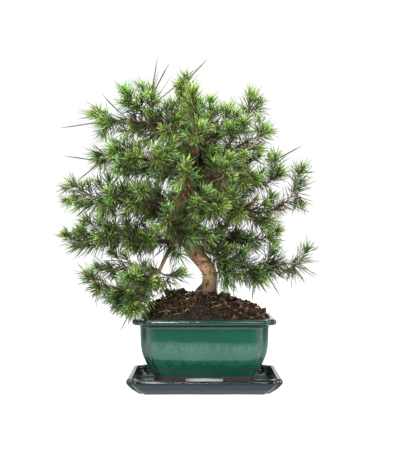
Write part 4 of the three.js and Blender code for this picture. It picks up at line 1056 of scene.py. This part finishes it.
def leafy(leaves, line, lengths=NEEDLES, bare=4, long=0, dead=0.07, hang=0.16, per_mm=1.5):
    """A twig along a line, its needles and the young tuft at its tip."""
    leaves.vigour = leaves.draw.normal(-0.06, 0.14)
    # some shoots are bluer and some yellower than the rest
    leaves.cast = (1 + leaves.draw.normal(0, 0.08) * np.array([1, 0, -1.5])).clip(0.6, 1.5)
    whole = length_of(line)
    # the tip's needles reach about 10 mm past the wood
    wood_line = line[:max(3, int(len(line) * (1 - 10 / max(whole, 14))))]
    twigs.append((wood_line, THICK_TWIG if whole > LONG_TWIG else THIN_TWIG))
    leaves.clothe(wood_line, min(bare, whole * 0.3), per_mm, lengths, LEANS, AGES, hang, dead=dead)
    tip = wood_line[-9:] if len(wood_line) > 12 else wood_line
    leaves.clothe(tip, 0, 2.0, TUFT, TUFT_LEANS, TUFT_AGES, hang=0)
    if long:
        # grown-up needles, one by one
        draw = leaves.draw
        way, side, third = frames(wood_line)
        count = 11
        at = draw.integers(int(len(wood_line) * 0.3), len(wood_line), count)
        turn = draw.uniform(0, 2 * math.pi, count)
        lean = draw.uniform(0.25, 0.95, count)[:, None]
        out = side[at] * np.cos(turn)[:, None] + third[at] * np.sin(turn)[:, None]
        goes = way[at] * np.cos(lean) + out * np.sin(lean)
        length = long * draw.uniform(0.8, 1.12, count)
        bend = draw.normal(0, 0.04, (count, 3)) * length[:, None]
        leaves.add(wood_line[at], goes, bend, length, np.full(count, 1.05), draw.uniform(0, 0.35, count))


def foot_on(branch, share, towards):
    """Where a spray leaves its branch: from inside the wood, straight out on the side that it grows to."""
    line = lines[branch]
    i = min(len(line) - 1, round(share * (len(line) - 1)))
    spot, radius = line[i, :3], line[i, 3]
    way = line[i, :3] - line[i - 1, :3]
    way /= np.linalg.norm(way)
    if share < 1:
        gap = np.asarray(towards, float) - spot
        out = gap - way * (gap @ way)
        way = out / np.linalg.norm(out)
    return [spot + way * 0.3 * radius, spot + way * (radius + 7)]


# the lower branches on the right hang their needles long
LENGTHS = {"lowest_right": (30, 31, 23), "right": (25, 29, 22)}
SIDE_TWIG_GAP, LOWEST_TIP, POT_CLEAR = 14, 140, 104
counts = {}
side_draw = np.random.default_rng(90)
for row, (on, share, long, stems) in enumerate(SPRAYS):
    counts[on] = counts.get(on, 0) + 1
    node = f"spray_{on}_{counts[on]}"
    leaves = Leaves(100 + row)
    leader = smooth_line([*foot_on(on, share, stems[0][0]), *np.array(stems[0], float)], 1)
    grown = [leader]
    for i, goal in enumerate(stems[1:]):
        fork = leader[int(len(leader) * (0.38 + 0.14 * i))]
        grown.append(smooth_line([fork, *np.array(goal, float)], 1))
    for number, line in enumerate(grown):
        bare = 1 if share > 0.9 else 6 - 3 * min(number, 1)
        leafy(leaves, line, LENGTHS.get(on, NEEDLES), bare, long if number == 0 else 0,
              hang=0.16 + 0.25 * (on in LENGTHS), per_mm=1.36)
        whole = length_of(line)
        # short side twigs fill the spray
        way, side, third = frames(line)
        for at in np.arange(0.3, 0.75 - 0.35 * (on == "lowest_right"), SIDE_TWIG_GAP / whole):
            i = int(at * len(line))
            turn = side_draw.uniform(0, 2 * math.pi)
            out = side[i] * math.cos(turn) + third[i] * math.sin(turn)
            reach = side_draw.uniform(16, 26)
            goes = out * 0.75 + way[i] * 0.7
            end = line[i] + goes * reach
            if end[2] > LOWEST_TIP or abs(end[0]) > POT_CLEAR:
                leafy(leaves, smooth_line([line[i], line[i] + goes * reach * 0.5, end + (0, 0, 3)], 1),
                      lengths=(18, 19, 16), bare=3, dead=0.05)
    needles = leaves.make(f"needles_{on}_{counts[on]}", needle_finish)
    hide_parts(node)


# Inner shoots. Between the sprays each branch carries shorter shoots and old needles of its own,
# some of them brown, which fill the crown. They grew from the branch as the sprays did.

# Many of them stand where the photo shows foliage between the sprays. These are the places, in
# pixels, and then how the camera sees them: where it stands in millimetres, the pixel straight
# ahead, and how far away one pixel is as wide as one millimetre.
SHOWN = [
    (127, 86), (141, 92), (172, 98), (187, 93), (199, 97), (172, 112), (186, 110), (158, 108),
    (127, 127), (140, 122), (112, 142), (120, 136), (128, 142), (142, 143), (156, 142), (200, 140),
    (215, 142), (172, 157), (187, 157), (215, 157), (112, 170), (122, 176), (128, 168), (143, 172),
    (157, 172), (150, 180), (172, 172), (127, 187), (140, 188), (157, 187), (170, 190), (274, 190),
    (84, 202), (97, 203), (110, 200), (172, 202), (185, 200), (247, 202), (82, 215), (97, 217),
    (105, 224), (112, 218), (127, 217), (135, 212), (143, 218), (158, 215), (217, 217), (230, 214),
    (90, 232), (127, 232), (158, 232), (172, 230), (217, 232), (232, 230), (70, 247), (112, 248),
    (185, 240), (228, 244), (250, 243), (275, 245), (172, 258), (182, 256), (240, 262), (228, 262),
    (258, 272), (272, 270), (232, 278), (120, 288), (142, 290), (135, 284), (132, 144), (143, 146),
    (156, 146), (132, 132), (110, 146), (180, 156), (168, 152), (120, 216), (74, 230), (132, 229),
    (144, 228), (121, 182), (133, 182), (192, 84), (182, 86), (210, 110), (205, 128), (128, 150),
    (218, 228), (230, 227), (242, 228), (252, 230), (219, 261), (112, 144), (121, 180), (180, 250),
    (262, 146), (108, 172), (111, 184), (123, 172), (123, 186), (144, 180), (156, 180), (135, 172),
    (150, 168), (96, 176), (192, 84), (166, 100), (96, 120), (120, 132), (108, 144), (264, 168),
    (252, 192), (72, 204), (204, 240), (214, 250), (219, 262), (224, 272), (210, 244), (230, 255),
    (196, 250), (140, 272), (148, 266), (150, 284), (84, 276), (150, 300), (240, 108), (108, 150),
    (108, 184), (134, 222), (168, 150), (214, 150), (172, 150), (180, 146), (222, 146), (226, 152),
    (114, 148), (222, 232), (246, 250), (127, 300), (142, 303), (112, 303), (118, 296), (105, 292),
    (134, 312), (260, 284),
]
EYE = (-4.9, -1445, 225.7)
CENTRE_PX = (201, 235)
FOCAL_PX, PHOTO_HEIGHT_PX = 970, 450
DEPTHS = np.array([-30, -12, 10, 30])
LIKED_REACH = 34
POINTS = 60


def shoots_as_shown():
    """For each branch, the shoots that it sends: the share of it where each leaves, and its tip."""
    chance = random.Random(5)
    steps = np.arange(8, POINTS - 2, 2)
    spots, ways = [], []
    for start, end, run in BRANCHES.values():
        run = np.array(run, float)
        at = np.linspace(0, len(run) - 1, POINTS)
        line = np.stack([np.interp(at, range(len(run)), column) for column in run.T], 1)
        way = line[np.minimum(POINTS - 1, steps + 1)] - line[steps - 1]
        spots.append(line[steps])
        ways.append(way / np.linalg.norm(way, axis=1)[:, None])
    spots, ways = np.vstack(spots)[:, None], np.vstack(ways)[:, None]
    owner = np.repeat(np.arange(len(BRANCHES)), len(steps))
    near = np.tile(steps // 4, len(BRANCHES))
    taken = np.zeros(len(owner))
    found = {name: [] for name in BRANCHES}
    for px, py in SHOWN:
        # the line of sight through the place, at four depths around each point of each branch
        y = spots[..., 1] + DEPTHS
        scale = (y - EYE[1]) / FOCAL_PX
        x, z = EYE[0] + (px - CENTRE_PX[0]) * scale, EYE[2] + (CENTRE_PX[1] - py) * scale
        goals = np.stack([x, y, z], 2)
        reach = np.linalg.norm(goals - spots, axis=2)
        forward = ((goals - spots) * ways).sum(2) / reach.clip(1)
        # a good shoot is 34 mm long, points neither back nor straight on, and has room
        cost = abs(reach - LIKED_REACH) * 0.8 + ((0.1 - forward).clip(0) + (forward - 0.85).clip(0)) * 30
        cost += np.array([chance.uniform(0, 5) for _ in range(cost.size)]).reshape(cost.shape)
        cost += taken[:, None] * 7
        best, depth = divmod(int(cost.argmin()), len(DEPTHS))
        taken[(owner == owner[best]) & (near == near[best])] += 1
        share = round(steps[best % len(steps)] / (POINTS - 1), 2)
        found[list(BRANCHES)[owner[best]]].append((share, *np.round(goals[best, depth])))
    return found


inner_shoots = shoots_as_shown()
# those that hang over the rim of the pot, and those on the trunk itself
inner_shoots["low_left"] += [
    (0.85, -98, -92, 116), (0.85, -112, -76, 114), (0.85, -124, -56, 118),
    (0.85, -88, -88, 121), (0.85, -134, -50, 124), (0.85, -106, -86, 122)]
inner_shoots["trunk"] = [
    (0.3, -40, -34, 268), (0.4, -2, -36, 300), (0.5, -28, -30, 322), (0.55, 12, -34, 330),
    (0.6, -20, -36, 346), (0.68, 8, -28, 358), (0.75, -34, -24, 372), (0.85, -12, -30, 392),
    (0.5, -30, 34, 330)]

# shoots that have withered keep their brown needles
WITHERED = {
    "low_left": [(0.62, -72, -42, 150), (0.66, -84, -46, 141), (0.58, -60, -34, 158), (0.7, -92, -30, 137)],
    "front_mid": [(0.6, -12, -66, 276), (0.5, -38, -60, 306), (0.75, -48, -92, 260), (0.8, -34, -98, 266)],
    "front_centre": [(0.7, -2, -78, 247), (0.6, -34, -70, 252), (0.85, 3, -98, 266)],
    "mid_left": [(0.5, -84, -40, 258), (0.35, -62, -34, 272)],
    "left": [(0.45, -72, -22, 232), (0.3, -50, -30, 226)],
    "up_left": [(0.5, -70, -52, 344), (0.75, -100, -40, 352)],
    "right": [(0.5, 44, -50, 276)]}
# how close old needles and inner shoots stand on a branch, and how long the shoots are
OLD_PER_MM, FEATHER_PER_MM, HEART_PER_MM, SHOOT_GAP, SHOOT_REACH = 2.4, 3.2, 2.2, 13, (20, 42)
for row, name in enumerate([*BRANCHES, "trunk"]):
    line = lines[name][:, :3]
    whole = length_of(line)
    leaves = Leaves(300 + row)
    draw = leaves.draw
    if name == "trunk":
        line = line[int(len(line) * 0.4):]
    # the lowest branch on the right is clothed like a feather, and the drooping one is bare at first
    feather, drooping = name == "lowest_right", name == "low_left"
    clothed = line[int(len(line) * (0.5 if drooping else 0.3)):]
    if feather:
        leaves.clothe(clothed, 0, FEATHER_PER_MM, (26, 33, 31), (1.3, 1.15, 0.95), (-0.3, -0.1, 0.1),
                      hang=0.4, dead=0.12)
    else:
        leaves.clothe(clothed, 0, OLD_PER_MM, (16, 20, 19), (1.3, 1.15, 0.95), (-0.3, -0.1, 0.1),
                      hang=0.3, dead=0.45)
    if not (feather or drooping):
        # the shaded heart of the crown keeps its oldest needles, half of them brown
        leaves.clothe(line[int(len(line) * 0.12):int(len(line) * 0.65)], 0, HEART_PER_MM,
                      (24, 26, 24), (1.4, 1.3, 1.2), (-0.5, -0.4, -0.3), hang=0.1, dead=0.5)
    way, side, third = frames(line)
    first, last = 0.5 if drooping else max(0.22, 14 / whole), 0.55 if feather else 0.86
    for step, at in enumerate(np.arange(first, last, SHOOT_GAP / whole)):
        i = int(at * (len(line) - 1))
        turn = step * GOLDEN_TURN + draw.uniform(-0.4, 0.4)
        out = side[i] * math.cos(turn) + third[i] * math.sin(turn)
        reach = draw.uniform(*SHOOT_REACH)
        goes = out * 0.8 + way[i] * draw.uniform(0.3, 0.8)
        end = line[i] + goes * reach
        end[2] += 5
        if end[2] > LOWEST_TIP or abs(end[0]) > POT_CLEAR + 4:
            leafy(leaves, smooth_line([line[i], line[i] + goes * reach * 0.5, end], 1),
                  lengths=(20, 22, 17), bare=5, dead=0.08)
    for share, *goal in inner_shoots[name]:
        here = line[int(share * (len(line) - 1))]
        leafy(leaves, smooth_line([here, (here + goal) / 2 - (0, 0, 3), goal], 1), bare=6, dead=0.05)
    for share, *goal in WITHERED.get(name, []):
        here = line[int(share * (len(line) - 1))]
        leafy(leaves, smooth_line([here, (here + goal) / 2, goal], 1), (15, 16, 15), bare=2, dead=0.85)
    leaves.make(f"inner_shoots_{name}", needle_finish)


# Long needles. A few grown-up needles stand out from the crown one by one. They are dull green, and
# nearly twice as thick as the rest so that they show. Each grew from the twig nearest to the first
# of its two places, and its tip is near the second.

LONG = [
    [-79, 0, 439, -75, -4, 496], [-76, 0, 430, -69, -6, 494], [-71, 0, 438, -52, -8, 486],
    [-68, 2, 432, -11, -14, 470], [-7, 0, 452, 6, -6, 487], [-117, 10, 403, -158, 0, 436],
    [-145, 12, 418, -174, 10, 424], [-160, 8, 390, -212, 0, 384], [-165, -10, 346, -207, -14, 344],
    [-150, -20, 336, -192, -30, 303], [108, 6, 334, 149, 0, 361], [124, -20, 266, 159, -26, 260],
    [62, 4, 410, 88, 0, 440], [60, 4, 404, 95, 10, 411], [68, -20, 157, 71, -26, 128],
    [52, -16, 152, 41, -20, 130], [-150, 14, 262, -172, 10, 312], [-120, 10, 258, -158, 0, 240],
    [-40, 0, 220, -85, -14, 190], [95, -24, 165, 112, -34, 132], [-90, -26, 121, -96, -84, 96],
    [-96, -26, 121, -112, -80, 92], [-84, -30, 119, -78, -86, 101], [-110, -30, 125, -124, -60, 84],
]
LONG_WIDTH = 2.1
leaves = Leaves(400)
leaves.cast = np.array([1.2, 0.9, 1.05])
joints = np.vstack([line for line, thick in twigs])
long_rows = np.array(LONG, float)
foot = np.array([joints[np.argmin(((joints - spot) ** 2).sum(1))] for spot in long_rows[:, :3]])
goes = long_rows[:, 3:] - foot
length = np.linalg.norm(goes, axis=1)
goes /= length[:, None]
bend = leaves.draw.normal(0, 0.05, goes.shape) * length[:, None]
leaves.add(foot, goes, bend, length, np.full(len(foot), LONG_WIDTH),
           leaves.draw.uniform(-0.2, 0.3, len(foot)))
leaves.make("long_needles", needle_finish)


# Twigs. The brown stems of all shoots, on which their needles grew. Each starts inside the branch
# or twig that it grew from, and is thin at its tip.

TWIG_SIDES = 6
stalks = []
for line, thick in twigs:
    line = line[::3] if len(line) > 8 else line
    stalks.append(tube(line, np.linspace(thick, TWIG_END, len(line)), TWIG_SIDES))
twig_wood = gather("twigs", stalks)
twig_wood.data.shade_smooth()
twig_finish = Finish("twig bark")
fleck = twig_finish.noise(900, 4)
twig_finish.shine(
    Base_Color=twig_finish.mix(twig_finish.step(fleck, 0.35, 0.65), tone(104, 82, 50), tone(140, 116, 72)),
    Roughness=twig_finish.step(fleck, 0.3, 0.8, 0.7, 0.9),
    Normal=twig_finish.relief(fleck, 0.2))
twig_finish.dress(twig_wood)
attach(twig_wood, "root")


# Floor, light and camera. A white table that glows a little, so that it stays white, and that ends
# in front of the pot: the upright part of its glaze mirrors the dimmer room, and its belly the
# table. Small lamps near the camera show as streaks on the lip.

floor = add("floor", "primitive_plane_add", size=1, location=(0, 1.62, -0.4 * MM))
bpy.ops.transform.resize(value=(6, 4, 1))
bpy.ops.object.transform_apply(location=True, rotation=True, scale=True)
table = Finish("white table", Roughness=0.8)
table.shader.inputs["Emission Strength"].default_value = 0.9
table.shader.inputs["Emission Color"].default_value = (1, 1, 1, 1)
table.shine(Base_Color=table.mix(table.noise(3, 2), (0.2, 0.2, 0.198, 1), (0.22, 0.22, 0.218, 1)))
table.dress(floor)


class Sky(Finish):
    """The world on its way, wired like a material."""

    def __init__(self, name):
        self.world = bpy.data.worlds.new(name)
        self.world.use_nodes = True
        self.tree = self.world.node_tree
        self.shader = self.tree.nodes["Background"]
        self.place = self.node("ShaderNodeTexCoord", out="Generated")

    def ramp(self, value, low, high, start, end):
        return self.node("ShaderNodeMapRange", {}, {
            "Value": value, "From Min": low, "From Max": high, "To Min": start, "To Max": end})


sky = Sky("studio")
bpy.context.scene.world = sky.world
# the wall behind the tree is white and lights it from behind, and the room in front is dimmer
behind = sky.ramp(sky.part("Y"), -0.2, 0.4, 0, 1)
sideways = sky.node("ShaderNodeMath", {"operation": "ABSOLUTE"}, {0: sky.part("X")})
aside = sky.ramp(sideways, 0.16, 0.3, 0.2, 0.5)
seen = sky.node("ShaderNodeLightPath", out="Is Camera Ray")
sky.shine(Color=(1, 1, 1, 1), Strength=seen.math("MAXIMUM", seen, seen.math("MAXIMUM", behind, aside)))


def window(name, place, aim, size, power):
    """A soft rectangular light, in metres and watts."""
    lamp = bpy.data.lights.new(name, "AREA")
    lamp.shape = "RECTANGLE"
    lamp.size, lamp.size_y = size
    lamp.energy = power
    holder = bpy.data.objects.new(name, lamp)
    bpy.context.scene.collection.objects.link(holder)
    holder.location = place
    holder.rotation_euler = (Vector(aim) - Vector(place)).to_track_quat("-Z", "Y").to_euler()


window("window_left", (-1.1, -1.0, 0.8), (0, 0, 0.2), (0.7, 0.9), 21)
window("window_right", (1.2, -0.9, 0.7), (0, 0, 0.2), (0.5, 0.9), 42)
window("window_above", (-0.45, -0.3, 1.5), (0, 0, 0.2), (0.8, 0.9), 30)
window("lamp_left", (-0.15, -2.1, 1.25), (0, 0, 0.1), (0.07, 0.9), 11)
window("lamp_right", (0.19, -2.1, 1.25), (0, 0, 0.1), (0.03, 0.9), 3)

lens = bpy.data.cameras.new("camera")
lens.sensor_fit = "VERTICAL"
lens.sensor_height = 36
lens.lens = FOCAL_PX / PHOTO_HEIGHT_PX * lens.sensor_height
camera = bpy.data.objects.new("camera", lens)
bpy.context.scene.collection.objects.link(camera)
camera.location = Vector(EYE) * MM
camera.rotation_euler = (math.radians(90.6), 0, 0)
bpy.context.scene.camera = camera
bpy.context.scene.view_settings.view_transform = "Standard"
